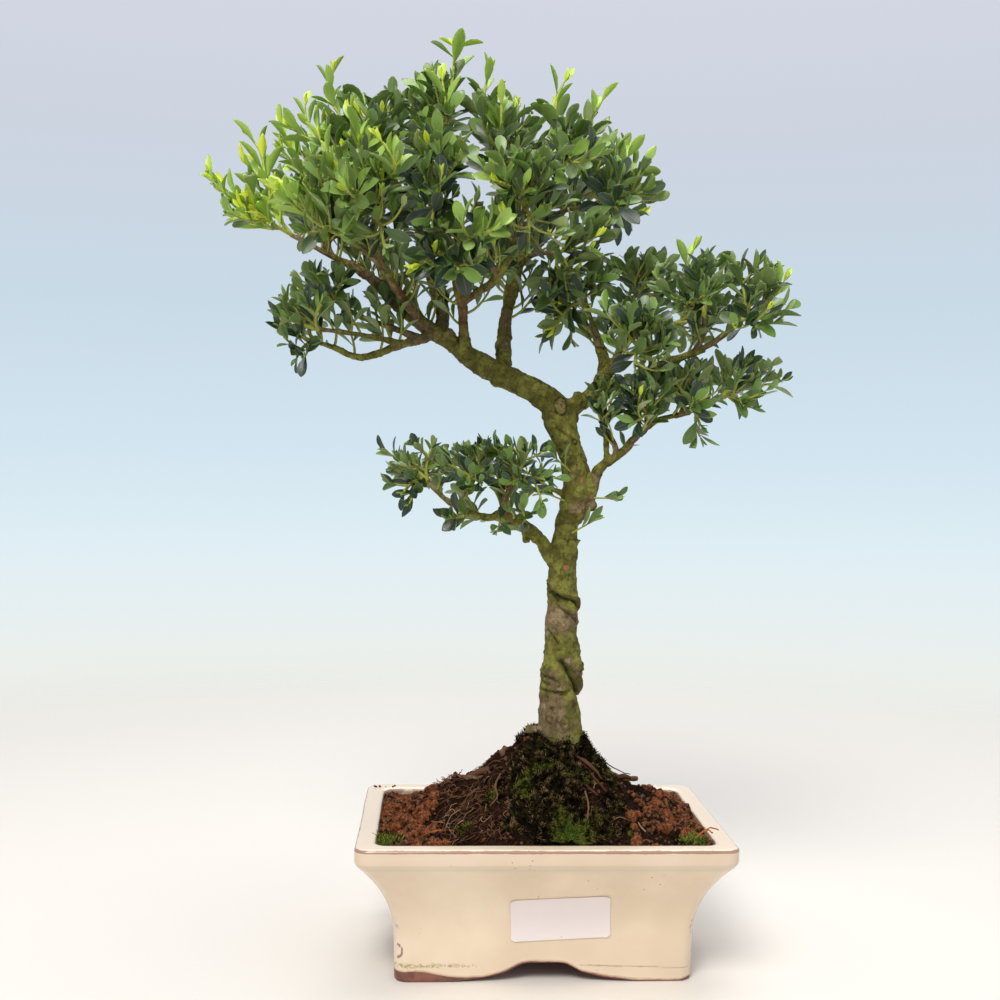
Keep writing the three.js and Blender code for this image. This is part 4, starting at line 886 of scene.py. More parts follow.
def leaf_finish():
    """Leathery leaf: deep green above with a pale midrib, lighter below, lime where it is new, and darker in
    painted shade on the shaded shoots inside the crown
    """
    look = settings("leaf")
    finish = Finish("holly leaf", look.leaf_top, Roughness=0.38, IOR=1.45, Specular_IOR_Level=0.7,
                    Subsurface_Weight=0.08, Subsurface_Radius=(0.4, 1.0, 0.2), Subsurface_Scale=0.0012)
    tint = finish.attribute("tint")
    youth = finish.attribute("youth")
    blade = finish.out("ShaderNodeUVMap", uv_map="blade_uv")
    across, along = (finish.number("ShaderNodeSeparateXYZ", {"Vector": blade}, axis) for axis in "XY")
    # Lighter leaves by tint at random; the low tint of shaded shoots gives painted shade
    finish.paint(look.leaf_light, tint.step(0.3, 1.0))
    finish.paint(shade(28, 54, 32), finish.noise(140, 2) * 0.3)
    off_rib = abs(across - 0.5)
    rib = 1 - off_rib.step(0.012, 0.05)
    finish.paint(shade(132, 152, 84), rib * 0.25)
    finish.paint(shade(150, 166, 104), off_rib.step(0.44, 0.49) * 0.35)
    # Undersides darker where the tint is low, which carries the painted shade of shaded shoots
    below = finish.mix((1 - tint) * 0.9, look.leaf_under, shade(84, 112, 56))
    below = finish.mix(rib * 0.5, below, shade(154, 170, 104))
    finish.paint(below, finish.attribute("underside"))
    finish.paint(look.leaf_new, youth.step(0.03, 0.72))
    finish.paint(look.leaf_bud, youth.step(0.76, 1.0))
    finish.paint(shade(120, 84, 44), along.step(0.9, 1.0) * tint.step(0.8, 0.95) * 0.7)
    veins = finish.number("ShaderNodeTexWave", {"Vector": blade, "Scale": 3.0, "Distortion": 2.0}, "Fac",
                          bands_direction="Y")
    return finish.done(veins * 0.3 + finish.noise(700, 2), 0.00005, 0.4)


def stem_finish():
    """Green stem, browner in patches"""
    look = settings("leaf")
    finish = Finish("green stem", look.stem_old, Roughness=0.55)
    finish.paint(look.stem_new, finish.attribute("youth").step(0.0, 0.8))
    finish.paint(shade(112, 92, 50), finish.noise(300, 3).step(0.45, 0.7) * 0.4)
    return finish.done(finish.noise(1200, 3), 0.0002)


# The floor is solid up to the first distance from the bowl in metres, and gone at the second
FLOOR_SOLID = 0.4
FLOOR_END = 1.2


def floor_finish():
    """Near-white floor that fades out away from the bowl"""
    finish = Finish("pale floor", shade(231, 226, 218), Roughness=0.6)
    finish.paint(shade(222, 216, 208), finish.noise(3, 2) * 0.06)
    reach = finish.out("ShaderNodeVectorMath", {0: finish.place}, "Value", operation="LENGTH")
    finish.link(finish.out("ShaderNodeMapRange", {
        "Value": reach, "From Min": FLOOR_SOLID, "From Max": FLOOR_END, "To Min": 1.0, "To Max": 0.0},
        interpolation_type="SMOOTHSTEP"), "Alpha")
    return finish.done()


def outline(half_x, half_y, radius, corner_steps, long_steps, short_steps):
    """A rounded rectangle's points, counter-clockwise from its right side"""
    points = []
    for corner, (sign_x, sign_y) in enumerate(((1, 1), (-1, 1), (-1, -1), (1, -1))):
        for i in range(corner_steps + 1):
            angle = (corner + i / corner_steps) * math.pi / 2
            points.append((sign_x * (half_x - radius) + radius * math.cos(angle),
                           sign_y * (half_y - radius) + radius * math.sin(angle)))
        last = points[-1]
        long_side = corner in (0, 2)
        goal = (-last[0], last[1]) if long_side else (last[0], -last[1])
        steps = long_steps if long_side else short_steps
        points += [tuple(last[axis] + (goal[axis] - last[axis]) * i / steps for axis in (0, 1))
                   for i in range(1, steps)]
    return np.array(points)


def ring_faces(rings, count):
    """Quads between rings of points, with a face at each end"""
    faces = []
    for r in range(rings - 1):
        for i in range(count):
            a = r * count + i
            b = r * count + (i + 1) % count
            faces.append((a, b, b + count, a + count))
    last = (rings - 1) * count
    return faces + [tuple(reversed(range(count))), tuple(range(last, last + count))]


def sheet_faces(columns, rows):
    """Quads between the points of a sheet that lie in rows"""
    return [(a, a + 1, a + columns + 1, a + columns)
            for j in range(rows - 1) for a in range(j * columns, j * columns + columns - 1)]


def sheet_rim(columns, rows):
    """The numbers of a sheet's outer points, once round it"""
    rim = list(range(columns)) + [j * columns + columns - 1 for j in range(1, rows)]
    rim += [(rows - 1) * columns + i for i in range(columns - 2, -1, -1)]
    return rim + [j * columns for j in range(rows - 2, 0, -1)]


# The bowl in millimetres: the gaps between its feet, its floor, the foot and top of the curved wall, the
# thickness of the wall, the top of the mouth's upright wall, the drain holes, and the round of the rim's edge
ARCH_HEIGHT = 9.5
ARCH_HALF_TOP = 9
ARCH_HALF_WIDTH = {"front": 48, "side": 30}
BOWL_FLOOR_Z = 16
COVE_FOOT_Z = 22
COVE_TOP_Z = 62
BOWL_WALL = 7
MOUTH_TOP_Z = 68
DRAIN_RADIUS = 6
DRAIN_SPACING = 70
ROUND_OVER = 1.8


def arch_line(half_width):
    """Half of the bracket-shaped gap between two feet, as distances from its middle and heights"""
    knee = (half_width * 0.35, ARCH_HEIGHT * 0.62)
    slope = [(half_width, 0), (half_width * 0.5, ARCH_HEIGHT * 0.2), knee]
    shoulder = [knee, (ARCH_HALF_TOP + 2, ARCH_HEIGHT), (ARCH_HALF_TOP, ARCH_HEIGHT)]
    points = []
    for start, bend, end in (slope, shoulder):
        points += bent_line(np.array(start, float), np.array(bend, float), np.array(end, float), 16)
    points = np.array(points)
    return points[np.argsort(points[:, 0])]


def arch_height(x, y):
    front = arch_line(ARCH_HALF_WIDTH["front"])
    side = arch_line(ARCH_HALF_WIDTH["side"])
    return np.maximum(np.interp(np.abs(x), front[:, 0], front[:, 1], ARCH_HEIGHT, 0),
                      np.interp(np.abs(y), side[:, 0], side[:, 1], ARCH_HEIGHT, 0))


def cove_inset(z, foot_inset, cove_depth):
    rise = np.maximum(0, (z - COVE_FOOT_Z) / (COVE_TOP_Z - COVE_FOOT_Z))
    return foot_inset - cove_depth * rise * rise


class BONSAI_OT_bowl(bpy.types.Operator):
    """Glazed bowl with a rim band, a coved wall and four corner feet"""
    bl_idname = "bonsai.bowl"
    bl_label = "Glazed bowl"

    def execute(self, context):
        look = settings("bowl")
        width, depth = ((BOWL_HIGH - BOWL_LOW)[i] / MM for i in (0, 1))
        top = BOWL_TOP
        radius, rim, foot, cove = (value / MM for value in (
            look.corner_radius, look.rim_face, look.foot_inset, look.cove_depth))
        rows = [(foot + 1.6, None, 0.0, t) for t in np.linspace(0.02, 1, 42)]
        rows += [(foot + 1.1, None, 0.02, 1), (foot + 0.8, None, 0.25, 1), (foot + 0.6, None, 0.8, 1)]
        rows += [(foot + 0.6 * (1 - t), None, COVE_FOOT_Z * t + 0.8, 1) for t in np.linspace(0.04, 0.93, 24)]
        rows += [(cove_inset(z, foot, cove), z, 0, 1) for z in np.linspace(COVE_FOOT_Z, COVE_TOP_Z, 18)]
        rows += [(inset, COVE_TOP_Z + rise, 0, 1) for inset, rise in ((0.9, 0.9), (0.35, 1.8), (0.08, 2.6))]
        rows += [(0, z, 0, 1) for z in (COVE_TOP_Z + 3.4, COVE_TOP_Z + 5.4, COVE_TOP_Z + 7)]
        rows += [(ROUND_OVER * (1 - math.cos(a)), top - ROUND_OVER * (1 - math.sin(a)), 0, 1)
                 for a in np.linspace(0.0, math.pi / 2, 8)]
        rows += [(inset, top, 0, 1) for inset in (2.6, 4, 5.6, 7)]
        rows += [(rim - 1 + 2.4 * math.sin(a), top - 2.4 * (1 - math.cos(a)), 0, 1)
                 for a in np.linspace(0.0, math.pi / 2, 6)]
        mouth = rim + 1.4
        rows += [(mouth, z, 0, 1) for z in (67, 65, COVE_TOP_Z)]
        rows += [(cove_inset(z, foot, cove) + BOWL_WALL, z, 0, 1) for z in (54, 46, 38, 30, COVE_FOOT_Z)]
        rows += [(foot + BOWL_WALL + 1.5, BOWL_FLOOR_Z, 0, t) for t in (1, 0.96, 0.6, 0.2, 0.02)]

        points = []
        marks = {key: [] for key in ("above_edge", "rim_edge", "lip_edge", "inner_wall")}
        for inset, z, lift, share in rows:
            ring = outline(width / 2 - inset, depth / 2 - inset, radius, 8, 36, 24) * share
            edge = arch_height(ring[:, 0], ring[:, 1])
            if z is None:
                high = edge + lift * (1 - edge / COVE_FOOT_Z)
            else:
                high = np.full(len(ring), float(z))
            points.append(np.column_stack([ring, high]))
            under = z is None and share < 1
            marks["above_edge"].append(np.full(len(ring), -1.0) if under else high - edge)
            marks["rim_edge"].append(np.full(len(ring), hump(high - (top - 1.0), 0.95) * (inset < 2)))
            on_lip = z is not None and z > MOUTH_TOP_Z
            on_inner_wall = z is not None and z > COVE_TOP_Z - 1
            marks["lip_edge"].append(np.full(len(ring), hump(inset - rim - 1.0, 0.6) * on_lip))
            # Where the painted shade of the mouth's inner wall lies
            marks["inner_wall"].append(np.full(len(ring), float(
                soft_step(inset, rim + 0.6, rim + 1.4) * on_inner_wall)))
        points = np.vstack(points)
        x, y, z = points.T
        inside = np.repeat([z is not None and z < MOUTH_TOP_Z and inset > foot for inset, z, _, _ in rows],
                           len(ring))
        above = np.concatenate(marks["above_edge"])
        above[inside] = -1.0
        puddle = 4.6 * soft_step(-x, 30, 66) * soft_step(-y, 30, 42) + 1.0 * unevenness(points, 9, 3)
        marks["above_edge"] = above * MM
        marks["glaze_edge"] = (0.7 + np.maximum(0, puddle)) * MM
        for key in ("rim_edge", "lip_edge", "inner_wall"):
            marks[key] = np.concatenate(marks[key])
        at_corner = hump(np.hypot(np.abs(x) - (width / 2 - foot), np.abs(y) - (depth / 2 - foot)), 5)
        marks["corner_wear"] = at_corner * soft_step(COVE_FOOT_Z + 20 - z, 0, 12) * (above > 0)
        stain = np.maximum(hump(z - 8.4, 1.7), 0.75 * hump(z - 7.5, 3.2) * hump(x + 66, 9))
        marks["algae_stain"] = soft_step(-x, 20, 45) * soft_step(-y, 35, 46) * stain * (above > 0)
        chip = np.linalg.norm(points - np.array([-width / 2 + foot, -depth / 2 + foot, 15.5]), axis=1)
        marks["chip"] = hump(chip - 4.6, 0.8) * soft_step(x + width / 2 - foot, 0.8, 2.6)
        in_front = soft_step(-y, 44, 46)
        fold = hump(z - 8.4 + 0.03 * np.abs(x - 20), 0.7) * soft_step(x, 12, 18)
        lower_fold = hump(above - 1.3, 0.7) * soft_step(x, 18, 24) * soft_step(70 - x, 0, 20)
        marks["crease"] = np.maximum(fold, lower_fold) * in_front * (above > 0.3)
        points += 0.16 * np.column_stack([unevenness(points, 24, 1), unevenness(points, 24, 2),
                                          np.zeros(len(points))])
        obj = mesh_object("bowl", points, ring_faces(len(rows), len(ring)), marks)
        for side in (-1, 1):
            self.drill(obj, side * DRAIN_SPACING / 2)
        present(obj, glaze_finish(), ["pot"])
        return {"FINISHED"}

    def drill(self, bowl, x):
        """Cuts a round drain hole through the floor"""
        turns = np.linspace(0, math.tau, 32, endpoint=False)
        ring = np.column_stack([x + DRAIN_RADIUS * np.cos(turns), DRAIN_RADIUS * np.sin(turns)])
        ends = [np.column_stack([ring, np.full(len(ring), z)]) for z in (2.0, BOWL_FLOOR_Z + 8.0)]
        cutter = mesh_object("drill", np.vstack(ends), ring_faces(2, len(ring)))
        modifier = bowl.modifiers.new("drain hole", "BOOLEAN")
        modifier.object = cutter
        modifier.operation = "DIFFERENCE"
        modifier.solver = "EXACT"
        cut = evaluated(bowl)
        bowl.modifiers.remove(modifier)
        bowl.data = cut
        discard(cutter)


# The label in millimetres: its size, its corners' radius, its middle on the bowl's front, and its tilt
LABEL_WIDTH = 50
LABEL_HEIGHT = 22.4
LABEL_CORNER = 2
LABEL_CENTRE = (7.6, 33)
LABEL_TILT = math.radians(2.8)


class BONSAI_OT_label(bpy.types.Operator):
    """Blank paper label that follows the front of the bowl"""
    bl_idname = "bonsai.label"
    bl_label = "Paper label"

    def execute(self, context):
        look = settings("bowl")
        columns, rows = 40, 26
        sheets = []
        for lift in (0.12, 0.4):
            points = []
            for v in np.linspace(-1, 1, rows):
                up = v * LABEL_HEIGHT / 2
                into = max(0, abs(up) - (LABEL_HEIGHT / 2 - LABEL_CORNER))
                half = LABEL_WIDTH / 2 - LABEL_CORNER + math.sqrt(max(0, LABEL_CORNER ** 2 - into ** 2))
                for u in np.linspace(-1, 1, columns):
                    across = u * half
                    x = LABEL_CENTRE[0] + across * math.cos(LABEL_TILT) - up * math.sin(LABEL_TILT)
                    z = LABEL_CENTRE[1] + across * math.sin(LABEL_TILT) + up * math.cos(LABEL_TILT)
                    inset = cove_inset(z, look.foot_inset / MM, look.cove_depth / MM)
                    curl = 0.35 * max(0, abs(u) - 0.93) / 0.07 * abs(v) ** 3
                    points.append((x, -(BOWL_HALF_Y - inset) - lift - 0.2 - curl, z))
            sheets.append(points)
        count = columns * rows
        faces = []
        for a, b, c, d in sheet_faces(columns, rows):
            faces += [(a, d, c, b), (a + count, b + count, c + count, d + count)]
        rim = sheet_rim(columns, rows)
        faces += [(a, b, b + count, a + count) for a, b in zip(rim, rim[1:] + rim[:1])]
        obj = mesh_object("paper_label", sheets[0] + sheets[1], faces)
        obj.data.set_sharp_from_angle(angle=math.radians(50))
        present(obj, paper_finish(), ["label"])
        return {"FINISHED"}


# The soil in millimetres: its height at the wall, its floor, the mound's slope and place, and the bowl's
# mouth; then the points across and along the sheets that are laid over it
SOIL_EDGE_Z = 65
SOIL_FLOOR_Z = 60.0
MOUND_SLOPE = 0.62
MOUND_CENTRE = (4, 0)
MOUND_DEPTH_STRETCH = 1.2
MOUTH_INSET = 10.4
MOUTH_HALF_DEPTH = 55.5
SOIL_GRID = (150, 104)
GRAIN_GRID = (100, 70)
MOSS_GRID = (120, 84)


def mound_reach(x, y):
    return np.hypot(x - MOUND_CENTRE[0], (y - MOUND_CENTRE[1]) * MOUND_DEPTH_STRETCH)


def soil_height(x, y):
    """Height of the soil: a mound up to the trunk, with an uneven surface"""
    reach = mound_reach(x, y)
    rise = settings("soil").mound_height / MM - MOUND_SLOPE * np.hypot(reach, 6) - SOIL_EDGE_Z
    blended = SOIL_EDGE_Z + (rise + np.hypot(rise, 4)) / 2
    uneven = np.sin(x * 0.33 + 1) * np.cos(y * 0.29) + 0.6 * np.sin(x * 0.71 - y * 0.53)
    return blended + 0.8 * uneven


def mound_height(x, y):
    """The soil's height with the earth that is heaped to the trunk and along the roots"""
    x, y = np.asarray(x, float), np.asarray(y, float)
    height = soil_height(x, y) + 10 * hump(mound_reach(x, y), 30)
    for rows in ROOTS.values():
        for root_x, root_y, root_z, radius in smooth_path(rows, 4):
            away = np.hypot(x - root_x, y - root_y)
            bank = root_z - 0.15 * radius - 0.8 * np.maximum(0, away - radius)
            height = (height + bank + np.hypot(height - bank, 1.5)) / 2
    return height


def ground_height(x, y):
    """The mound where water has washed it down beside the roots"""
    left = mound_of(x, y, -31, 8, 11, 22)
    right = mound_of(x, y, 54, 12, 14, 30)
    return mound_height(x, y) - 4 * left - 5 * right


# Clods of the soil: height, width and seed of each size
CLODS = [(1.1, 6, 4), (0.8, 2.8, 5), (0.4, 1.3, 6)]


def rough_soil(x, y):
    """The mound with its small clods"""
    clods = sum(rise * level_unevenness(x, y, size, seed) for rise, size, seed in CLODS)
    return ground_height(x, y) + clods


def clay_share(x, y):
    """Where the fired clay lies: in the corners at both sides of the mound"""
    left = soft_step(-x + 0.22 * np.abs(y) + 7 * level_unevenness(x, y, 14, 7), 54, 61)
    right = soft_step(x + 0.36 * np.abs(y) + 7 * level_unevenness(x, y, 14, 8), 56, 63)
    dark_patch = mound_of(x, y, 60, -44, 14, 12)
    clump = mound_of(x, y, -49, 2, 11, 14)
    return np.clip(left + right - 1.5 * dark_patch - 1.5 * clump, 0, 1)


MOSS_SPOTS = [
    # x, y, radius, density and brightness of each patch of moss
    [10, -52, 11, 1.0, 1.6], [26, -46, 12, 0.6, 0.35], [-25, -28, 7, 0.6, 0.45], [-40, -40, 5, 0.5, 0.8],
    [-17, -46, 8, 0.45, 0.2], [30, -14, 14, 0.6, 0.15], [-16, -18, 14, 0.5, 0.1], [36, -30, 10, 0.6, 0.3],
    [35, -3, 4, 0.9, 1.3], [21, -24, 4, 0.8, 1.2],
    [-81, -48, 6, 1.0, 1.5], [-82, -38, 6, 0.9, 0.9], [78, -47, 7, 1.0, 1.7], [72, -50, 5, 0.7, 1.3],
    [44, -46, 5, 0.5, 0.6], [-20, 26, 16, 0.6, 0.3], [30, 30, 16, 0.6, 0.3], [-54, -50, 4, 0.5, 0.7],
]


def moss_share(x, y):
    total = np.zeros(len(x))
    for spot_x, spot_y, radius, strength, _ in MOSS_SPOTS:
        total = np.maximum(total, strength * hump(np.hypot(x - spot_x, y - spot_y), radius))
    return soft_step(total + 0.25 * level_unevenness(x, y, 5, 9), 0.25, 0.6)


def moss_brightness(x, y):
    total = np.full(len(x), 0.1)
    for spot_x, spot_y, radius, _, bright in MOSS_SPOTS:
        total = np.maximum(total, bright * hump(np.hypot(x - spot_x, y - spot_y), radius * 1.1))
    return total + 0.15 * level_unevenness(x, y, 4, 10)


def soil_grid(columns, rows):
    """Points over the bowl's mouth, in rows from front to back"""
    half_x, half_y = (half - MOUTH_INSET - 0.3 for half in (BOWL_HALF_X, BOWL_HALF_Y))
    corner = settings("bowl").corner_radius / MM
    grid = []
    for y in np.linspace(-half_y, half_y, rows):
        into = max(0, abs(y) - (half_y - corner))
        half = half_x - corner + math.sqrt(max(0, corner ** 2 - into ** 2))
        grid += [(u * half, y) for u in np.linspace(-1, 1, columns)]
    return np.array(grid)


class BONSAI_OT_soil(bpy.types.Operator):
    """Mound of moist soil with its clods"""
    bl_idname = "bonsai.soil"
    bl_label = "Soil"

    def execute(self, context):
        columns, rows = SOIL_GRID
        x, y = soil_grid(columns, rows).T
        z = rough_soil(x, y)
        at_wall = soft_step(np.abs(x), 78, 84) + soft_step(np.abs(y), 50, 56)
        z = np.minimum(z, MOUTH_TOP_Z + 60 * (1 - np.clip(at_wall, 0, 1)))
        top = np.column_stack([x, y, z])
        under = np.column_stack([x, y, np.full(len(x), SOIL_FLOOR_Z)])
        faces = sheet_faces(columns, rows)
        rim = sheet_rim(columns, rows)
        low = {a: columns * rows + n for n, a in enumerate(rim)}
        faces += [(low[a], low[b], b, a) for a, b in zip(rim, rim[1:] + rim[:1])]
        faces.append([low[a] for a in reversed(rim)])
        points = np.vstack([top, under[rim]])
        obj = mesh_object("soil_bed", points, faces)
        present(obj, earth_finish(), ["soil"])
        return {"FINISHED"}


def strewing_surface(name, grid, cover, lift):
    """An open sheet over the soil that carries how densely things lie on it"""
    x, y = soil_grid(*grid).T
    points = np.column_stack([x, y, rough_soil(x, y) + lift])
    marks = {"cover": cover(x, y), "bright": moss_brightness(x, y)}
    return mesh_object(name, points, sheet_faces(*grid), marks)


def shape_collection(name, objects):
    collection = bpy.data.collections.new(name)
    for obj in objects:
        collection.objects.link(obj)
        bpy.context.scene.collection.objects.unlink(obj)
    return collection


def discard_collection(collection):
    discard(*list(collection.objects))
    bpy.data.collections.remove(collection)


def lump_shapes(name, subdivisions, roughness, count=5):
    """Rough grains one unit across"""
    objects = []
    for n in range(count):
        mesh = bpy.data.meshes.new(f"{name}_{n}")
        work = bmesh.new()
        bmesh.ops.create_icosphere(work, subdivisions=subdivisions, radius=0.5)
        work.to_mesh(mesh)
        work.free()
        points = raw_points(mesh).astype(float)
        swell = 1 + roughness * (unevenness(points, 0.5, 20 + n) + 0.7 * unevenness(points, 0.22, 40 + n))
        points *= swell[:, None] * np.array([1, 0.85, 0.8])
        mesh.vertices.foreach_set("co", points.astype(np.float32).ravel())
        mesh.shade_smooth()
        objects.append(new_object(f"{name}_{n}", mesh))
    return shape_collection(name, objects)


# Crumbs on a square metre of the rim's strewn spots, and those spots: x, y, half width and half depth
RIM_CRUMB_DENSITY = 120000
RIM_SPOTS = [(-84, 60, 7, 1.6), (-3, -57.6, 5.5, 1.0), (70, 60, 4, 1.2)]


class BONSAI_OT_grains(bpy.types.Operator):
    """Lumps of fired clay and crumbs of peat on the soil"""
    bl_idname = "bonsai.grains"
    bl_label = "Grains on the soil"

    def execute(self, context):
        look = settings("soil")
        tree = scatter_tree()
        clay = {"finish": fired_clay_finish(), "shapes": lump_shapes("clay_lump", 2, 0.34), "lean": 0.8}
        for n, (name, sheet, lift, share, smallest, largest) in enumerate((
                ("clay_lumps", "clay_surface", 0.8, 0.56, 3.8, 8.2),
                ("clay_grit", "grit_surface", 1.6, 1.0, 1.4, 3.8))):
            surface = strewing_surface(sheet, GRAIN_GRID, clay_share, lift)
            grains = grown(surface, tree, name, density=look.lump_density * share, smallest=smallest * MM,
                           largest=largest * MM, seed=look.seed + n, **clay)
            self.hold_down(grains)
            present(grains)
        discard_collection(clay["shapes"])
        peat = {"shapes": lump_shapes("peat_crumb", 1, 0.4), "smallest": 0.6 * MM, "lean": 1.2}
        surface = strewing_surface("crumb_surface", GRAIN_GRID, self.crumb_share, 0.1)
        fine = grown(surface, tree, "peat_crumbs", density=look.crumb_density, largest=2.3 * MM,
                     seed=look.seed + 2, finish=crumb_finish(), **peat)
        self.hold_down(fine)
        present(fine)
        stray = grown(self.rim_patches(), tree, "rim_crumbs", density=RIM_CRUMB_DENSITY, largest=1.9 * MM,
                      seed=look.seed + 3, finish=crumb_finish(), **peat)
        present(stray)
        discard_collection(peat["shapes"])
        return {"FINISHED"}

    def crumb_share(self, x, y):
        """Fine peat lies between the clay, and in a dark heap at the front right"""
        return 0.8 - 0.5 * clay_share(x, y) + 1.8 * mound_of(x, y, 59, -47, 15, 10)

    def rim_patches(self):
        """Sheets over the spots of the rim that peat crumbs have fallen on"""
        points, faces = [], []
        for x, y, half_x, half_y in RIM_SPOTS:
            first = len(points)
            points += [(x + i * half_x, y + j * half_y, BOWL_TOP + 0.3)
                       for i, j in ((-1, -1), (1, -1), (1, 1), (-1, 1))]
            faces.append((first, first + 1, first + 2, first + 3))
        return mesh_object("rim_patches", points, faces, {"cover": np.ones(len(points))})

    def hold_down(self, obj):
        """Keeps grains near the wall below the rim and inside the bowl's mouth"""
        points = mesh_points(obj.data)
        for axis, half in enumerate((BOWL_HALF_X, BOWL_HALF_Y)):
            reach = half - MOUTH_INSET - 0.2
            points[:, axis] = np.clip(points[:, axis], -reach, reach)
        move_points(obj.data, points)


class Lines:
    """Lines to be swept into stems, with a radius and a youth at each point"""

    def __init__(self):
        self.points, self.edges, self.radii, self.youth = [], [], [], []

    def add(self, points, radii, youth=0.0):
        first = len(self.points)
        self.points += [tuple(point) for point in points]
        self.edges += [(first + i, first + i + 1) for i in range(len(points) - 1)]
        self.radii += [radius * MM for radius in radii]
        self.youth += [youth] * len(points)

    def to_object(self, name, key="youth"):
        attributes = {"radius": self.radii, key: self.youth}
        return mesh_object(name, self.points, [], attributes, self.edges)


ROOTLET_COUNT = 560
FIBRE_COUNT = 150


class BONSAI_OT_rootlets(bpy.types.Operator):
    """Fine dry roots and threads that lie on the mound"""
    bl_idname = "bonsai.rootlets"
    bl_label = "Rootlets"

    def execute(self, context):
        draw = random.Random(settings("soil").seed)
        lines = Lines()
        for n in range(ROOTLET_COUNT):
            on_left = n % 3 != 0
            centre = (-34, -30) if on_left else (8, -6)
            spread = (16, 16) if on_left else (30, 30)
            x, y = draw.gauss(centre[0], spread[0]), draw.gauss(centre[1], spread[1])
            if abs(x) > 72 or abs(y) > 50:
                continue
            downhill = math.atan2(y, x - MOUND_CENTRE[0])
            heading = downhill + draw.gauss(0, 1.0)
            length = draw.uniform(4, 15)
            curl = draw.gauss(0, 0.14)
            arch = draw.uniform(0.4, 1.6)
            points = []
            steps = 7
            for i in range(steps):
                z = float(ground_height(x, y)) + 0.4 + arch * math.sin(math.pi * i / (steps - 1))
                points.append((x, y, z))
                x += math.cos(heading) * length / steps
                y += math.sin(heading) * length / steps
                heading += curl + draw.gauss(0, 0.34)
            points = [(px, max(-MOUTH_HALF_DEPTH, min(MOUTH_HALF_DEPTH, py)), pz) for px, py, pz in points]
            thick = draw.uniform(0.09, 0.2)
            lines.add(points, [thick * (1 - 0.6 * i / steps) for i in range(steps)], draw.random())
        self.fluff(lines, draw)
        for rows, tint in self.large_ones():
            path = smooth_path(rows, 1.5)
            lines.add(path[:, :3], path[:, 3], tint)
        source = lines.to_object("rootlet_lines", "tint")
        obj = grown(source, stem_tree(), "rootlets", sides=4, bark=rootlet_finish())
        points = mesh_points(obj.data)
        shift = [unevenness(points, 2.6, seed) for seed in (81, 82, 83)]
        move_points(obj.data, points + 0.35 * np.column_stack(shift))
        present(obj)
        return {"FINISHED"}

    def fluff(self, lines, draw):
        """A clump of short brown fibres at the left of the mound"""
        for _ in range(FIBRE_COUNT):
            at = Vector((draw.gauss(-51, 4), draw.gauss(2, 6), 0))
            at.z = float(ground_height(at.x, at.y)) + draw.uniform(-0.5, 1.8)
            heading = Vector((draw.gauss(0, 1), draw.gauss(0, 1), draw.gauss(0, 0.25))).normalized()
            points = [at.copy()]
            for _ in range(4):
                heading = (heading + Vector([draw.gauss(0, 0.35) for _ in range(3)])).normalized()
                points.append(points[-1] + heading * draw.uniform(0.6, 1.2))
            lines.add(points, [0.22, 0.22, 0.2, 0.17, 0.1], draw.uniform(0.5, 0.87))

    def large_ones(self):
        """The roots and threads that stand out: rows of x, y, z and radius, and a tint"""
        return [
            ([[-62, -30, 70, 0.9], [-54, -33, 72, 0.8], [-46, -36, 73.5, 0.4]], 0.99),
            ([[48, -38, 78, 0.4], [52, -41, 73, 0.4], [55, -44, 70, 0.3]], 0.9),
            ([[36, 6, 99, 0.3], [44, 4, 95, 0.3], [50, 2, 93, 0.2]], 0.3),
            ([[16, -22, 98, 1.1], [22, -27, 94, 1.0], [30, -31, 88, 0.8], [33, -34, 84, 0.5]], 0.25),
            ([[-30, -12, 91, 1.0], [-37, -17, 87, 0.8], [-44, -22, 80, 0.5]], 0.7),
            ([[-27, -3, 96.6, 1.9], [-32, -3, 95.4, 1.9], [-37, -3, 93, 1.8], [-41.5, -3, 90.2, 1.5]], 0.45),
            ([[-41, -3, 90.4, 1.5], [-43.6, -3, 91.6, 1.1], [-45.8, -3, 95.2, 0.9]], 0.0),
            ([[84, -50, 76, 0.4], [80, -53, 78, 0.4], [74, -55, 75, 0.3]], 0.99),
            ([[76, -54, 76, 0.3], [82, -52, 79, 0.35], [87, -49, 77, 0.3]], 0.99),
            ([[-17, -1, 101, 1.5], [-19.3, -2, 104.6, 1.9], [-20.4, -2, 106.6, 1.5],
              [-20.8, -2, 107.4, 0.5]], 0.6),
            ([[18, -15, 107, 0.9], [24, -18, 103.6, 1.2], [29, -20, 99, 0.8], [32, -20, 95, 0.5]], 0.45),
            ([[25, -22, 99, 0.7], [29, -25, 95, 0.8], [35, -27, 89, 0.6]], 0.25),
            ([[34, -5, 96, 1.0], [40, -6, 93.4, 1.3], [45, -6, 94, 1.5], [49, -6, 93, 1.0]], 0.15),
            ([[21, -34, 93, 0.5], [22, -40, 88, 0.45], [21, -46, 82, 0.4]], 0.8),
            ([[-22, -22, 99, 0.6], [-25, -28, 94, 0.6], [-24, -33, 90, 0.5], [-28, -37, 86, 0.4]], 0.6),
        ]


# The moss cushion in millimetres: its middle, its half width and half depth, and its thickness
MOSS_CENTRE = (2, -33)
MOSS_HALF = (21, 23)
MOSS_THICKNESS = 5.5

# The collar round the trunk's foot: distance from the trunk, height and cover of each ring
COLLAR = [(11.2, 119, 0.25), (12.6, 114, 0.8), (14.5, 110.5, 1), (17, 107, 0.9), (20, 103, 0.6),
          (24, 99, 0.3)]


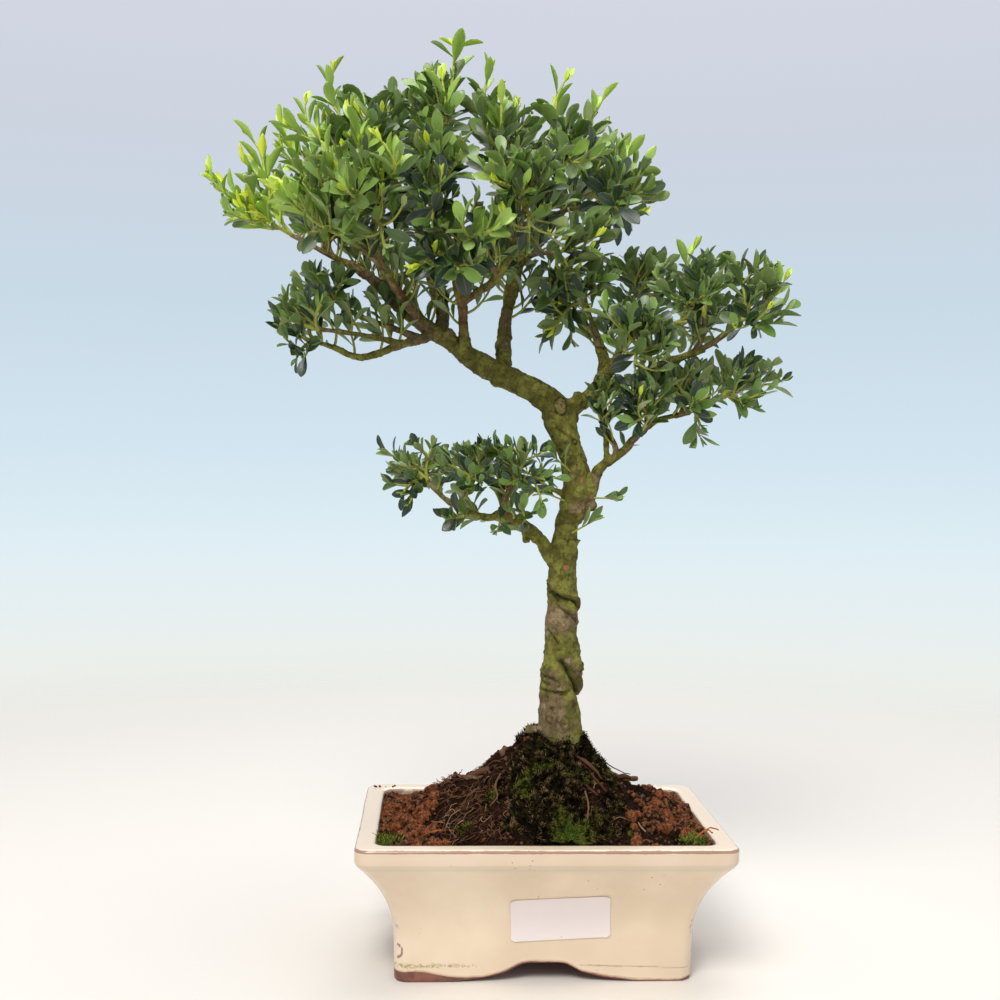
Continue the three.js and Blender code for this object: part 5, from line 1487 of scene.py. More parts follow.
def sprig_shapes():
    """Tiny tufts of pointed blades, one unit high, in three forms"""
    objects = []
    for n, count in enumerate((5, 6, 7)):
        draw = random.Random(60 + n)
        points, faces, heights = [], [], []
        for k in range(count):
            turn = k / count * math.tau + draw.uniform(-0.3, 0.3)
            lean = draw.uniform(0.25, 0.95) if k else 0.05
            reach = draw.uniform(0.7, 1.0)
            tip = (math.cos(turn) * reach * math.sin(lean), math.sin(turn) * reach * math.sin(lean),
                   reach * math.cos(lean))
            foot = (math.cos(turn) * 0.08, math.sin(turn) * 0.08, -0.15)
            first = len(points)
            for corner in range(3):
                angle = turn + corner * math.tau / 3
                points.append((foot[0] + 0.17 * math.cos(angle), foot[1] + 0.17 * math.sin(angle), foot[2]))
            points.append(tip)
            heights += [0.0, 0.0, 0.0, 1.0]
            faces += [(first, first + 1, first + 3), (first + 1, first + 2, first + 3),
                      (first + 2, first, first + 3), (first, first + 2, first + 1)]
        mesh = bpy.data.meshes.new(f"sprig_{n}")
        mesh.from_pydata(points, [], faces)
        set_attribute(mesh, "sprig_height", heights)
        objects.append(new_object(f"sprig_{n}", mesh))
    return shape_collection("sprigs", objects)


# The pieces of tufts: density, smallest and largest size as shares of the settings, and lean
TUFTS = [
    ("moss_tufts", 1.2, 0.4, 1.1, 0.7), ("moss_patches", 1.0, 0.5, 1.1, 0.6),
    ("moss_collar", 1.1, 0.7, 1.7, 0.8), ("corner_tufts", 0.8, 0.9, 2.0, 1.1),
]


class BONSAI_OT_moss(bpy.types.Operator):
    """Moss: the cushion on the mound's front, the collar round the trunk and loose patches"""
    bl_idname = "bonsai.moss"
    bl_label = "Moss"

    def execute(self, context):
        look = settings("moss")
        tree = scatter_tree()
        finish = moss_finish()
        sprigs = sprig_shapes()
        cushion = self.cushion()
        bed = cushion.copy()
        bed.data = cushion.data.copy()
        bpy.context.scene.collection.objects.link(bed)
        bed.name = "moss_bed"
        present(bed, finish, ["moss_cushion"])
        size = look.sprig_height
        surfaces = (cushion, strewing_surface("patch_surface", MOSS_GRID, moss_share, 0.3), self.collar(),
                    strewing_surface("corner_surface", GRAIN_GRID, self.corner_share, 3.5))
        for n, (surface, row) in enumerate(zip(surfaces, TUFTS)):
            name, share, smallest, largest, lean = row
            tufts = grown(surface, tree, name, shapes=sprigs, density=look.sprig_density * share,
                          smallest=size * smallest, largest=size * largest, lean=lean, seed=look.seed + n,
                          finish=finish)
            present(tufts)
        discard_collection(sprigs)
        return {"FINISHED"}

    def cushion(self):
        sectors, tiers = 72, 22
        points = []
        for tier in range(tiers + 1):
            t = 1 - tier / tiers * 0.98
            angles = np.arange(sectors) / sectors * math.tau
            wave = 1 + 0.06 * np.sin(angles * 3 + 1)
            x = MOSS_CENTRE[0] + MOSS_HALF[0] * t * wave * np.cos(angles)
            y = MOSS_CENTRE[1] + MOSS_HALF[1] * t * wave * np.sin(angles)
            swell = MOSS_THICKNESS * math.sqrt(max(0, 1 - t * t)) if tier else -5
            points.append(np.column_stack([x, y, mound_height(x, y) + swell]))
        points = np.vstack(points)
        clump = 1.6 * unevenness(points, 8, 12) + 1.5 * unevenness(points, 3.5, 13)
        clump[:sectors] = 0
        points[:, 2] += clump
        points[:, 1] = np.maximum(points[:, 1], -MOUTH_HALF_DEPTH)
        u, v = self.across_cushion(points)
        low_spot = hump(np.hypot(points[:, 0] - 9, points[:, 1] + 50), 9)
        marks = {
            "cover": 1 - 0.65 * soft_step(np.hypot(u, v), 0.76, 0.9),
            "bright": 0.75 * low_spot + 0.7 * self.upper_edge(u, v) + 0.25 * unevenness(points, 7, 14),
            # Painted shade: the bed under the sprigs is darkened nearly to black, as at a sprig's foot
            "sprig_height": np.full(len(points), 0.02),
            "tint": np.full(len(points), 0.3),
        }
        return mesh_object("cushion", points, ring_faces(tiers + 1, sectors), marks)

    def across_cushion(self, points):
        """Shares of the cushion's half width and half depth"""
        return ((points[:, axis] - MOSS_CENTRE[axis]) / MOSS_HALF[axis] for axis in (0, 1))

    def upper_edge(self, u, v):
        """The rim of the cushion that faces the trunk, where the moss is fresher"""
        return hump(np.hypot(u, 1.85 * v) - 0.66, 0.24) * soft_step(v - 0.5 * u, -0.3, 0.3)

    def corner_share(self, x, y):
        """Leafy tufts in the bowl's two front corners"""
        left = hump(np.hypot(x + 79, (y + 45) / 1.3), 3.6)
        return np.maximum(left, hump(np.hypot((x - 74) / 1.2, y + 48), 4.2))

    def collar(self):
        """The strip round the trunk's foot that moss grows on"""
        sectors = 60
        points, cover = [], []
        for row, (reach, lift, share) in enumerate(COLLAR):
            for k in range(sectors):
                angle = k / sectors * math.tau
                x, y = TRUNK[0][0] + reach * math.cos(angle), reach * math.sin(angle)
                points.append((x, y, max(lift - 3, float(mound_height(x, y)) + 0.6) if row > 1 else lift - 4))
                cover.append(share)
        faces = [(b, a, a + sectors, b + sectors) for r in range(len(COLLAR) - 1) for k in range(sectors)
                 for a, b in [(r * sectors + k, r * sectors + (k + 1) % sectors)]]
        points = np.array(points)
        points[:, 2] += 1.2 * unevenness(points, 5, 31)
        marks = {"cover": np.array(cover) * soft_step(unevenness(points, 6, 32), -0.5, 0.3),
                 "bright": -0.4 + 0.35 * unevenness(points, 7, 33)}
        return mesh_object("collar_surface", points, faces, marks)


# Seams of the trunk: height and angle from the front along each, its width and depth, the height of the lip
# over it, and how dark it shows, as a dark fissure with painted shade in the groove under its lip
SEAMS = [
    ([(197, -95), (196, -72), (192, -36), (189.5, 0), (188.8, 30), (186, 62), (180, 100)], 1.1, 1.8, 2.0,
     1.0),
    ([(192.5, -70), (191, -45), (188.5, -22)], 2.2, 1.6, 0.0, 0.8),
    ([(187, -30), (183.5, -5), (179.5, 34), (176.5, 70), (173, 100)], 0.8, 0.9, 0.8, 0.7),
    ([(156.5, -8), (151.5, 14), (145, 38), (138.5, 62), (133, 90)], 1.7, 2.6, 1.6, 1.0),
    ([(150, -100), (148, -62), (146.6, -28), (145.2, -8)], 0.8, 0.9, 0.9, 0.75),
    ([(141, -90), (140, -40), (139.4, 5), (140.4, 30)], 0.7, 0.7, 0.7, 0.6),
    ([(172.5, -62), (169.5, -38), (165.5, -18)], 0.7, 0.9, 0.9, 0.8),
    ([(151, 55), (149.6, 70), (148.6, 95)], 0.6, 0.8, 0.6, 1.0),
    ([(205, -12), (201.5, -8), (198.5, -4)], 0.4, 0.4, 0.1, 0.8),
    ([(205, 24), (201, 20), (198, 16)], 0.4, 0.4, 0.1, 0.8),
    ([(203, 5), (200, 6)], 0.4, 0.4, 0.1, 0.8),
    ([(228, -85), (225, -50), (223, -20)], 0.7, 0.4, 0.3, 0.4),
    ([(263, -70), (261, -30), (262, 8)], 0.7, 0.5, 0.3, 0.4),
    ([(280, -30), (276, 0), (273, 40)], 0.9, 0.7, 0.5, 0.5),
    ([(283, 10), (279, 45)], 0.7, 0.5, 0.3, 0.4),
    ([(199, 110), (190, 170), (184, 235), (190, 262)], 1.1, 1.2, 1.2, 0.9),
    ([(160, 100), (150, 165), (141, 240)], 1.4, 1.6, 1.4, 0.9),
    ([(226, 120), (220, 190), (224, 250)], 0.9, 0.7, 0.6, 0.5),
]

# Knots and swellings: height, angle from the front, size, upright stretch, rise, and how much shows as old
# wood, as a pink scar and as a dark ring
KNOTS = [
    (161.8, 50, 5.6, 1.0, 0.5, 0, 0, 0), (163.5, 46, 2.2, 1.3, -0.4, 0, 0, 0.7),
    (146.3, 84, 4.2, 1.0, 0.7, 0, 0, 0), (158, -24, 5, 1.0, 0.9, 0, 0, 0),
    (125.3, -31, 2.0, 1.0, 0.9, 0, 0, 0.5), (131, -22, 0.8, 1.0, 0.3, 0, 0, 1),
    (123.4, 8, 2.6, 1.7, 0.8, 0.9, 0, 0.4), (205.8, 8, 2.3, 1.0, 1.2, 0, 1, 0.6),
    (252.4, 12, 1.4, 1.6, 0.4, 0, 1, 0), (291.4, -2, 3.6, 1.5, 1.0, 1, 0, 1),
    (272.7, 24, 1.5, 1.0, 0.5, 0, 0, 1), (235, 60, 4, 1.0, 1.4, 0, 0, 0),
    (246, 150, 5, 1.0, 2.0, 0, 0, 0), (240, -60, 3.5, 1.0, 1.2, 0, 0, 0),
    (182, 190, 6, 1.0, 1.6, 0, 0, 0), (132, 200, 6, 1.0, 1.4, 0, 0, 0),
    (215, -130, 3, 1.0, 1.2, 0.8, 0, 1), (167, 10, 1.6, 1.0, 0.5, 0, 0, 0.4),
    (154, 20, 3.5, 1.0, 0.9, 0, 0, 0), (135.5, -38, 1.6, 0.7, 0.5, 0, 0, 0.5),
    (119, -45, 3, 1.0, 0.8, 0, 0, 0), (159.7, -86, 0.9, 1.0, 0.9, 0, 0, 1),
    (153, 88, 6, 1.2, -1.9, 0, 0, 0), (215, 50, 3, 1.0, 0.7, 0, 0, 0),
    (222, -30, 1.2, 1.0, 0.5, 0, 0, 0.6), (258, 170, 2.6, 1.3, 0.8, 0.9, 0, 1),
    (173, 140, 4, 1.0, 1.1, 0, 0, 0), (268, -50, 1.0, 1.0, 0.4, 0, 0, 0.8),
    (179, 16, 1.0, 1.0, 0.4, 0, 0, 0.6),
]


# Degrees round the trunk that count as much as a millimetre of height where a seam is cut into steps
SEAM_TURN = 8


def trunk_marks(points):
    """How far the trunk's seams and knots lift each point, and where they show old, pink or dark: dark
    fissures and rings, with painted shade in the grooves of the seams
    """
    rows = np.array(TRUNK)
    centre_x = np.interp(points[:, 2], rows[:, 1], rows[:, 0])
    radius = np.interp(points[:, 2], rows[:, 1], rows[:, 2])
    out = np.hypot(points[:, 0] - centre_x, points[:, 1])
    on_trunk = soft_step(radius * 1.6 + 2 - out, 0, 2) * soft_step(points[:, 2], 108, 116)
    on_trunk *= soft_step(299 - points[:, 2], 0, 4)
    angle = np.degrees(np.arctan2(points[:, 0] - centre_x, -points[:, 1]))
    ragged = 1 + 0.45 * unevenness(points, 4.5, 60)
    rise, seam, wood, pink = (np.zeros(len(points)) for _ in range(4))
    for line, width, depth, lip, dark in SEAMS:
        nearest = np.full(len(points), 1e9)
        place = np.zeros(len(points))
        above = np.zeros(len(points), bool)
        curve = smooth_path([[z, a / SEAM_TURN, 0, 0] for z, a in line], 2.5)
        for n, ((z_a, a, _, _), (z_b, b, _, _)) in enumerate(zip(curve, curve[1:])):
            for turn in (0, 360):
                along = np.radians(angle + turn - SEAM_TURN * a) * radius
                up = points[:, 2] - z_a
                span_x, span_z = np.radians(SEAM_TURN * (b - a)) * radius, z_b - z_a
                t = np.clip((along * span_x + up * span_z) / (span_x ** 2 + span_z ** 2), 0, 1)
                gap_x, gap_z = along - t * span_x, up - t * span_z
                gap = np.hypot(gap_x, gap_z)
                above = np.where(gap < nearest, gap_z > 0, above)
                place = np.where(gap < nearest, (n + t) / (len(curve) - 1), place)
                nearest = np.minimum(gap, nearest)
        nearest = nearest / ragged
        fade = soft_step(np.minimum(place, 1 - place), 0, 0.16)
        rise += fade * (lip * hump(nearest - 1.7 * width, 1.3 * width) * above - depth * hump(nearest, width))
        # Dark fissure with painted shade in the groove under the lip
        seam = np.maximum(seam, dark * hump(nearest, width * 0.75))
    for z, a, size, stretch, height, old, scar, ring in KNOTS:
        turn = (angle - a + 180) % 360 - 180
        gap = np.hypot(np.radians(turn) * radius, (points[:, 2] - z) / stretch)
        gap = gap * (1 + 0.12 * unevenness(points, 1.6, 61))
        rise += height * hump(gap, size)
        if old or scar:
            rise -= 0.5 * height * hump(gap, size * 0.5)
            inside = soft_step(size * 0.8 - gap, 0, 0.6)
            wood = np.maximum(wood, old * inside * (0.75 + 0.25 * unevenness(points, 0.9, 62)))
            pink = np.maximum(pink, scar * inside)
        seam = np.maximum(seam, ring * hump(gap - size * 0.85, 0.45))
    return [mark * on_trunk for mark in (rise, seam, wood, pink)]


class BONSAI_OT_wood(bpy.types.Operator):
    """Roots, trunk and limbs in one piece, with seams, knots and bark"""
    bl_idname = "bonsai.wood"
    bl_label = "Trunk and limbs"

    def execute(self, context):
        lines = Lines()
        walked = []
        stem = [[TRUNK[0][0], 0, STUMP_BOTTOM_Z, TRUNK[0][2]]] + [[x, 0, z, r] for x, z, r in TRUNK]
        knobs = [[[x, y, z + share * r, r * girth] for share, girth in BURL_PROFILE] for x, y, z, r in BURLS]
        for rows in (stem, *LIMBS.values(), *SPURS.values(), *ROOTS.values(), *knobs):
            path = smooth_path(rows, 1.6)
            lines.add(path[:, :3], path[:, 3])
            steps = np.linalg.norm(np.diff(path[:, :3], axis=0), axis=1)
            walked += [0, *np.cumsum(steps)]
        skeleton = KDTree(len(lines.points))
        for i, point in enumerate(lines.points):
            skeleton.insert(point, i)
        skeleton.balance()
        radii = np.array(lines.radii) / MM
        rough = grown(lines.to_object("wood_lines"), stem_tree(), "rough_wood", sides=20)
        modifier = rough.modifiers.new("one skin", "REMESH")
        modifier.mode = "VOXEL"
        modifier.voxel_size = settings("wood").grain_size
        mesh = evaluated(rough, keep_layers=False)
        rough.modifiers.remove(modifier)
        discard(rough)
        mesh.name = "trunk_and_limbs"
        nearest = [skeleton.find(point)[1] for point in mesh_points(mesh)]
        self.weather(mesh, radii[nearest], np.array(walked)[nearest])
        obj = new_object("trunk_and_limbs", mesh)
        bark = bark_finish()
        present(obj, bark, ["trunk"])
        self.bare_twigs(bark)
        return {"FINISHED"}

    def weather(self, mesh, radius, walked):
        """Lifts the skin into bark and marks its colours, with painted shade in its creases and hollows"""
        points = mesh_points(mesh)
        normals = point_normals(mesh)
        rise, seam, wood, pink = trunk_marks(points)
        stout = np.clip(radius / 8, 0.2, 1)
        on_limb = soft_step(8.5 - radius, 0, 2)
        coarse = unevenness(points, 8, 50)
        middle = unevenness(points * np.array([1, 1, 0.8]), 3.4, 51)
        fine = unevenness(points, 1.5, 52)
        wrinkle = np.abs(unevenness(points * np.array([0.7, 0.7, 1.5]), 3.6, 53))
        crease = soft_step(0.16 - wrinkle, 0, 0.16) * soft_step(unevenness(points, 11, 54), -0.3, 0.4)
        rings = np.maximum(0, np.cos(math.tau * walked / 8.5 + 2.2 * unevenness(points, 20, 55))) ** 10
        knobs = soft_step(unevenness(points, 5.5, 56), 0.25, 0.75)
        lift = stout * (0.8 * coarse + 0.55 * middle) + 0.24 * fine - 0.5 * stout * crease
        lift += on_limb * np.clip(radius / 4, 0.3, 1) * (0.35 * rings + 0.8 * knobs)
        move_points(mesh, points + normals * (lift + rise)[:, None])
        z = points[:, 2]
        in_crown = soft_step(z, 305, 335)
        algae = 0.32 + 0.2 * soft_step(z, 165, 260) - 0.22 * in_crown + 0.3 * unevenness(points, 18, 57)
        algae += (0.3 * hump(z - 198, 9) + 0.22 * hump(z - 165, 6) - 0.4 * hump(z - 177, 6)
                  - 0.15 * hump(z - 130, 12))
        algae += 0.12 * normals[:, 2] + 0.14 * np.abs(normals[:, 0]) + 0.15 * seam
        ruddy = 0.42 * in_crown * soft_step(4.5 - radius, 0, 2) + 0.2 * unevenness(points, 15, 58)
        ruddy += 0.4 * hump(np.linalg.norm(points - np.array([-6, -6, 303]), axis=1), 7)
        in_soil = z < 110
        algae -= 0.5 * in_soil
        # Painted shade in the hollows of the bark's relief
        hollow = 0.4 * soft_step(-middle, 0.45, 0.9) * stout
        marks = {
            "algae": algae, "ruddy": np.where(in_soil, 0.55, ruddy),
            "wound": np.maximum(wood, self.cut_ends(points)),
            # Dark of the seams, painted shade in the creases and hollows, and dark rings on the limbs
            "seam": np.maximum.reduce([seam, 0.6 * crease, hollow, 0.35 * rings * on_limb]), "scar": pink}
        for key, values in marks.items():
            set_attribute(mesh, key, values)
        mesh.shade_smooth()

    def cut_ends(self, points):
        """Pale wood at the ends of the pruned stubs"""
        ends = np.zeros(len(points))
        for rows in (LIMBS["cut_stub_left"], LIMBS["cut_stub_under"], SPURS["red_stub"], SPURS["limb_nub"],
                     SPURS["base_stub"]):
            gap = np.linalg.norm(points - np.array(rows[-1][:3]), axis=1)
            ends = np.maximum(ends, 0.8 * soft_step(rows[-1][3] * 1.15 - gap, 0, 0.8))
        return ends

    def bare_twigs(self, bark):
        """The leafless twigs that join each spray to its limb"""
        lines = Lines()
        for limb, fork, _ in SPRAYS.values():
            points, radii, _ = bare_twig(limb, fork)
            lines.add(points, radii)
        obj = grown(lines.to_object("twig_lines"), stem_tree(), "bare_twigs", sides=8)
        points = mesh_points(obj.data)
        normals = point_normals(obj.data)
        knobs = 0.3 * unevenness(points, 3, 70) + 0.3 * soft_step(unevenness(points, 2.4, 71), 0.3, 0.8)
        move_points(obj.data, points + normals * knobs[:, None])
        set_attribute(obj.data, "algae", 0.3 + 0.3 * unevenness(points, 14, 72))
        set_attribute(obj.data, "ruddy", 0.3 + 0.3 * unevenness(points, 12, 73))
        present(obj, bark)


# Bare twigs: steps along each, and the largest radius at its foot and the radius at its end in millimetres
TWIG_STEPS = 14
TWIG_FOOT_RADIUS = 2.2
TWIG_END_RADIUS = 1.15


def bare_twig(limb, fork):
    """The bare twig of a spray, from its limb to the fork: points, radii and the heading at its end"""
    rows = LIMBS[limb]
    points = [Vector(row[:3]) for row in rows]
    end = Vector(fork)
    nearest = min(range(len(points)), key=lambda i: (points[i] - end).length)
    back = max(nearest - 1, 0)
    start = points[back].lerp(points[nearest], 0 if back == nearest else 0.6)
    direction = (points[min(back + 1, len(points) - 1)] - points[back]).normalized()
    bend = start + direction * ((end - start).length * 0.45)
    thick = min(rows[nearest][3], TWIG_FOOT_RADIUS)
    radii = [thick + (TWIG_END_RADIUS - thick) * i / TWIG_STEPS for i in range(TWIG_STEPS + 1)]
    return bent_line(start, bend, end, TWIG_STEPS), radii, (end - bend).normalized()


def leaf_shape(name, stations, fold, cup, arch, blade_width):
    """A closed leaf blade one unit long: along +Y from its stalk, upper side up"""
    points, sharp, uvs = [], [], []
    for v, share in stations:
        half = share * blade_width
        drop = -arch * v * v
        edge = drop + fold * share + cup * share * math.sin(v * math.pi)
        points += [(-half, v, edge), (0.0, v, drop), (half, v, edge), (0.0, v, drop - 0.022 - 0.01 * (1 - v))]
        uvs += [(0.0, v), (0.5, v), (1.0, v), (0.5, v)]
    faces, under = [], []
    for i in range(len(stations) - 1):
        a, b = 4 * i, 4 * (i + 1)
        faces += [(a, a + 1, b + 1, b), (a + 1, a + 2, b + 2, b + 1)]
        faces += [(a + 3, a, b, b + 3), (a + 2, a + 3, b + 3, b + 2)]
        under += [0.0, 0.0, 1.0, 1.0]
        sharp += [(a, b), (a + 2, b + 2)]
    last = 4 * (len(stations) - 1)
    faces += [(2, 1, 0), (2, 0, 3), (last, last + 1, last + 2), (last, last + 2, last + 3)]
    under += [0.0, 1.0, 0.0, 1.0]
    mesh = bpy.data.meshes.new(name)
    mesh.from_pydata(points, [], faces)
    layer = mesh.uv_layers.new(name="blade_uv")
    for loop in mesh.loops:
        layer.data[loop.index].uv = uvs[loop.vertex_index]
    set_attribute(mesh, "underside", under, domain="FACE")
    mesh.attributes.new("blade", "BOOLEAN", "FACE").data.foreach_set("value", [True] * len(faces))
    mesh.shade_smooth()
    keys = {tuple(sorted(pair)) for pair in sharp}
    for edge in mesh.edges:
        edge.use_edge_sharp = tuple(sorted(edge.vertices)) in keys
    return new_object(name, mesh)


# Half widths of the leaf forms at shares of their length
OBOVATE = [(0, 0.07), (0.11, 0.09), (0.3, 0.46), (0.52, 0.86), (0.7, 1.0), (0.86, 0.84), (0.96, 0.44),
           (1, 0.1)]
ELLIPTIC = [(0, 0.07), (0.11, 0.1), (0.3, 0.62), (0.5, 0.96), (0.68, 0.95), (0.87, 0.56), (1, 0.06)]
PRUNED = [(0, 0.07), (0.11, 0.1), (0.3, 0.5), (0.5, 0.88), (0.66, 1.0), (0.75, 0.92)]
SLIM = [(0, 0.07), (0.13, 0.16), (0.32, 0.66), (0.54, 1.0), (0.76, 0.86), (0.92, 0.44), (1, 0.06)]

# The leaf forms: half widths, fold, cup, arch and width of each; then the ones that grown stems, young stems
# and buds bear
LEAF_FORMS = [
    (OBOVATE, 0.04, 0.03, 0.15, 0.195), (ELLIPTIC, 0.08, 0.02, 0.1, 0.18), (OBOVATE, 0.03, 0.05, 0.26, 0.22),
    (ELLIPTIC, 0.06, -0.02, -0.08, 0.19), (PRUNED, 0.05, 0.02, 0.08, 0.205), (SLIM, 0.08, 0.03, 0.03, 0.155),
    (SLIM, 0.1, 0.03, -0.06, 0.16),
]
GROWN_FORMS = (0, 1, 2, 3, 0, 1, 2, 3, 0, 2, 4)
YOUNG_FORM = 5
BUD_FORM = 6


def leaf_shapes():
    """The leaf forms, in the order that leaf_shape counts them"""
    return shape_collection("leaf forms", [
        leaf_shape(f"leaf_{n}", *form) for n, form in enumerate(LEAF_FORMS)])


class Spray:
    """The stems and leaf places of one spray as it grows"""

    def __init__(self, look, seed):
        self.look = look
        self.draw = random.Random(seed)
        self.lines = Lines()
        self.places = []
        self.turn = self.draw.uniform(0, math.tau)
        self.lightest = 1.0

    def shoot(self, start, heading, tip, radius, youth, leaf_from=0.25, size=1.0, count=9, shaded=False):
        """A stem that sets out along heading and bends to its tip, with leaves up its length"""
        reach = (tip - start).length
        bend = start + heading * (reach * 0.4)
        points = bent_line(start, bend, tip, count)
        self.lines.add(points, [radius * (1 - 0.32 * i / count) for i in range(count + 1)], youth)
        # Shaded shoots get a lower tint and come out darker: painted shade, partly the tone of older leaves
        self.lightest = 0.45 if shaded else 1.0
        gap = settings("leaf").leaf_gap / MM * (0.55 + 0.45 * self.look["size"]) * self.look["gap"]
        placed = 0.6
        while placed < reach * (1 - leaf_from):
            self.leaf_at(start, bend, tip, 1 - placed / reach, placed, youth, size)
            placed += gap * self.draw.uniform(0.75, 1.25)
        self.bud(tip, (tip - bend).normalized(), youth, size)
        return points, (tip - bend).normalized()

    def leaf_at(self, start, bend, tip, t, from_tip, youth, size):
        along = ((bend - start) * (1 - t) + (tip - bend) * t).normalized()
        root = on_bend(start, bend, tip, t)
        self.turn += GOLDEN_ANGLE + self.draw.uniform(-0.2, 0.2)
        spread = min(1.1, 0.44 + from_tip * 0.035 + self.draw.uniform(-0.14, 0.2))
        young_end = max(0.0, 1 - from_tip / 6)
        length = self.look["size"] * size * self.draw.uniform(0.74, 1.1) * (1 - 0.25 * young_end)
        leaf_youth = min(1.0, youth * (0.85 + 0.4 * young_end) + 0.04 * young_end)
        form = YOUNG_FORM if youth > 0.5 else self.draw.choice(GROWN_FORMS)
        self.leaf(root, along, spread, length, leaf_youth, form)

    def side(self, along):
        """A direction square to a stem, at the turn that the growth has come to"""
        side = along.orthogonal().normalized()
        side.rotate(Matrix.Rotation(self.turn, 3, along))
        return side

    def next_side(self, along):
        self.turn += GOLDEN_ANGLE
        return self.side(along)

    def leaf(self, root, along, spread, length, youth, form):
        heading = (along * math.cos(spread) + self.side(along) * math.sin(spread) + UP * 0.34).normalized()
        normal = (along - heading * along.dot(heading)).normalized()
        lifted = UP - heading * UP.dot(heading)
        normal = (normal + lifted * 0.55).normalized()
        normal.rotate(Matrix.Rotation(self.draw.uniform(-0.45, 0.45), 3, heading))
        heading = self.keep_inside(root, heading, length * settings("leaf").leaf_length / MM)
        normal = (normal - heading * normal.dot(heading)).normalized()
        across = heading.cross(normal)
        turn = Matrix((across, heading, normal)).transposed().to_euler()
        tint = self.draw.random() * self.lightest
        self.places.append((tuple(root), tuple(turn), length, form, tint, youth))

    def bud(self, tip, along, youth, size):
        """Small folded leaves that stand at a stem's end, yellow where it grows"""
        growing = youth > 0.5 or self.draw.random() < self.look["buds"]
        for _ in range(4 if growing else 2):
            self.turn += math.tau / 3
            length = self.look["size"] * size * self.draw.uniform(0.34, 0.5)
            fresh = self.draw.uniform(0.85, 1.0) if growing else min(0.5, youth + 0.2)
            self.leaf(tip, along, self.draw.uniform(0.1, 0.42), length, fresh, BUD_FORM)

    def keep_inside(self, root, heading, length):
        """Turns a leaf back where its tip would leave the frame's box"""
        heading = heading.copy()
        for axis in range(3):
            least = (LOWEST[axis] + BOX_MARGIN - root[axis]) / length
            most = (HIGHEST[axis] - BOX_MARGIN - root[axis]) / length
            bounded = min(max(heading[axis], least), most)
            if bounded != heading[axis] and abs(bounded) < 1:
                others = [i for i in range(3) if i != axis]
                rest = math.hypot(heading[others[0]], heading[others[1]]) or 1.0
                share = math.sqrt(1 - bounded * bounded) / rest
                heading = Vector([bounded if i == axis else heading[i] * share for i in range(3)])
        return heading

    def to_mesh(self, name, tree, forms, stem, leaf):
        source = self.lines.to_object(name + "_lines")
        places = bpy.data.meshes.new(name + "_places")
        roots, *columns = zip(*self.places)
        places.from_pydata(in_frame(roots).tolist(), [], [])
        kinds = {"turn": "FLOAT_VECTOR", "leaf_shape": "INT"}
        for key, values in zip(("turn", "size", "leaf_shape", "tint", "youth"), columns):
            set_attribute(places, key, values, kinds.get(key, "FLOAT"))
        marks = new_object(name + "_places", places)
        obj = grown(source, tree, name, leaf_places=marks, leaf_shapes=forms,
                    leaf_length=settings("leaf").leaf_length, sides=5, stem_finish=stem, leaf_finish=leaf)
        discard(marks)
        return obj


def group_of(name):
    row = next(row for key, row in GROUPS.items() if name.startswith(key))
    return dict(zip(GROUP_KEYS, row))


def inside_box(point, margin):
    return Vector([min(max(point[i], LOWEST[i] + margin), HIGHEST[i] - margin) for i in range(3)])


def plan_spray(name, seed):
    """Grows a spray by the rule of its solid, with side shoots between its twigs"""
    limb, fork, tips = SPRAYS[name]
    look = group_of(name)
    spray = Spray(look, seed)
    radius = settings("leaf").shoot_radius / MM
    twig, _, heading = bare_twig(limb, fork)
    end = Vector(fork)
    tips = [Vector(tip) for tip in tips]
    lead = max(range(len(tips)), key=lambda i: (tips[i] - end).normalized().dot(heading))
    ceiling = max(tip.z for tip in tips) + 6 * look["size"] - 3
    ends = []
    for n, tip in enumerate(tips):
        towards = (tip - end).normalized()
        setting_out = heading if n == lead else (heading * 0.7 + towards * 0.6).normalized()
        youth = look["fresh"] * spray.draw.uniform(0.2, 1.4) * (1.0 if tip.z > end.z else 0.3)
        points, direction = spray.shoot(end, setting_out, tip, radius * 1.2, youth)
        ends.append((tip, direction))
        side_shoots(spray, points, youth, ceiling)
    for t in (4, 6, 8, 10, 12) if name.startswith("crown") else (8, 11):
        grow_from_wood(spray, twig[t], heading)
    return spray, ends


def side_shoots(spray, points, youth, ceiling):
    """Shoots that fork from a twig and reach up and out beside it"""
    draw, look = spray.draw, spray.look
    radius = settings("leaf").shoot_radius / MM
    for k in range(look["side_shoots"]):
        i = 2 + int((k + draw.uniform(0.1, 0.9)) / look["side_shoots"] * (len(points) - 4))
        along = (points[i + 1] - points[i - 1]).normalized()
        heading = (along * 0.55 + spray.next_side(along) * 0.8).normalized()
        reach = draw.uniform(11, 21) * (0.45 + 0.55 * look["size"])
        goal = (heading + UP * look["rise"] + away_from_trunk(points[i]) * 0.35).normalized()
        tip = inside_box(points[i] + goal * reach, 4)
        tip.z = min(tip.z, max(ceiling, points[i].z + 2))
        spray.shoot(points[i], heading, tip, radius * 0.8, youth * draw.uniform(0.2, 1.1), 0.3,
                    draw.uniform(0.78, 1.0), 6)


def away_from_trunk(point):
    """Level direction from the crown's middle, or from the trunk, to a point"""
    middle = -50 if point.z > 350 and point.x < 40 else TRUNK[0][0]
    return Vector((point.x - middle, point.y, 0.01)).normalized()


def grow_from_wood(spray, start, heading):
    """A short shaded shoot on the older wood inside the crown"""
    draw, look = spray.draw, spray.look
    side = spray.next_side(heading)
    side.z = abs(side.z)
    goal = (side + heading * 0.5 + UP * 0.2).normalized()
    tip = inside_box(start + goal * draw.uniform(10, 18) * (0.4 + 0.6 * look["size"]), 4)
    spray.shoot(start, side, tip, 0.65, 0.0, 0.3, draw.uniform(0.66, 0.9), 5, shaded=True)


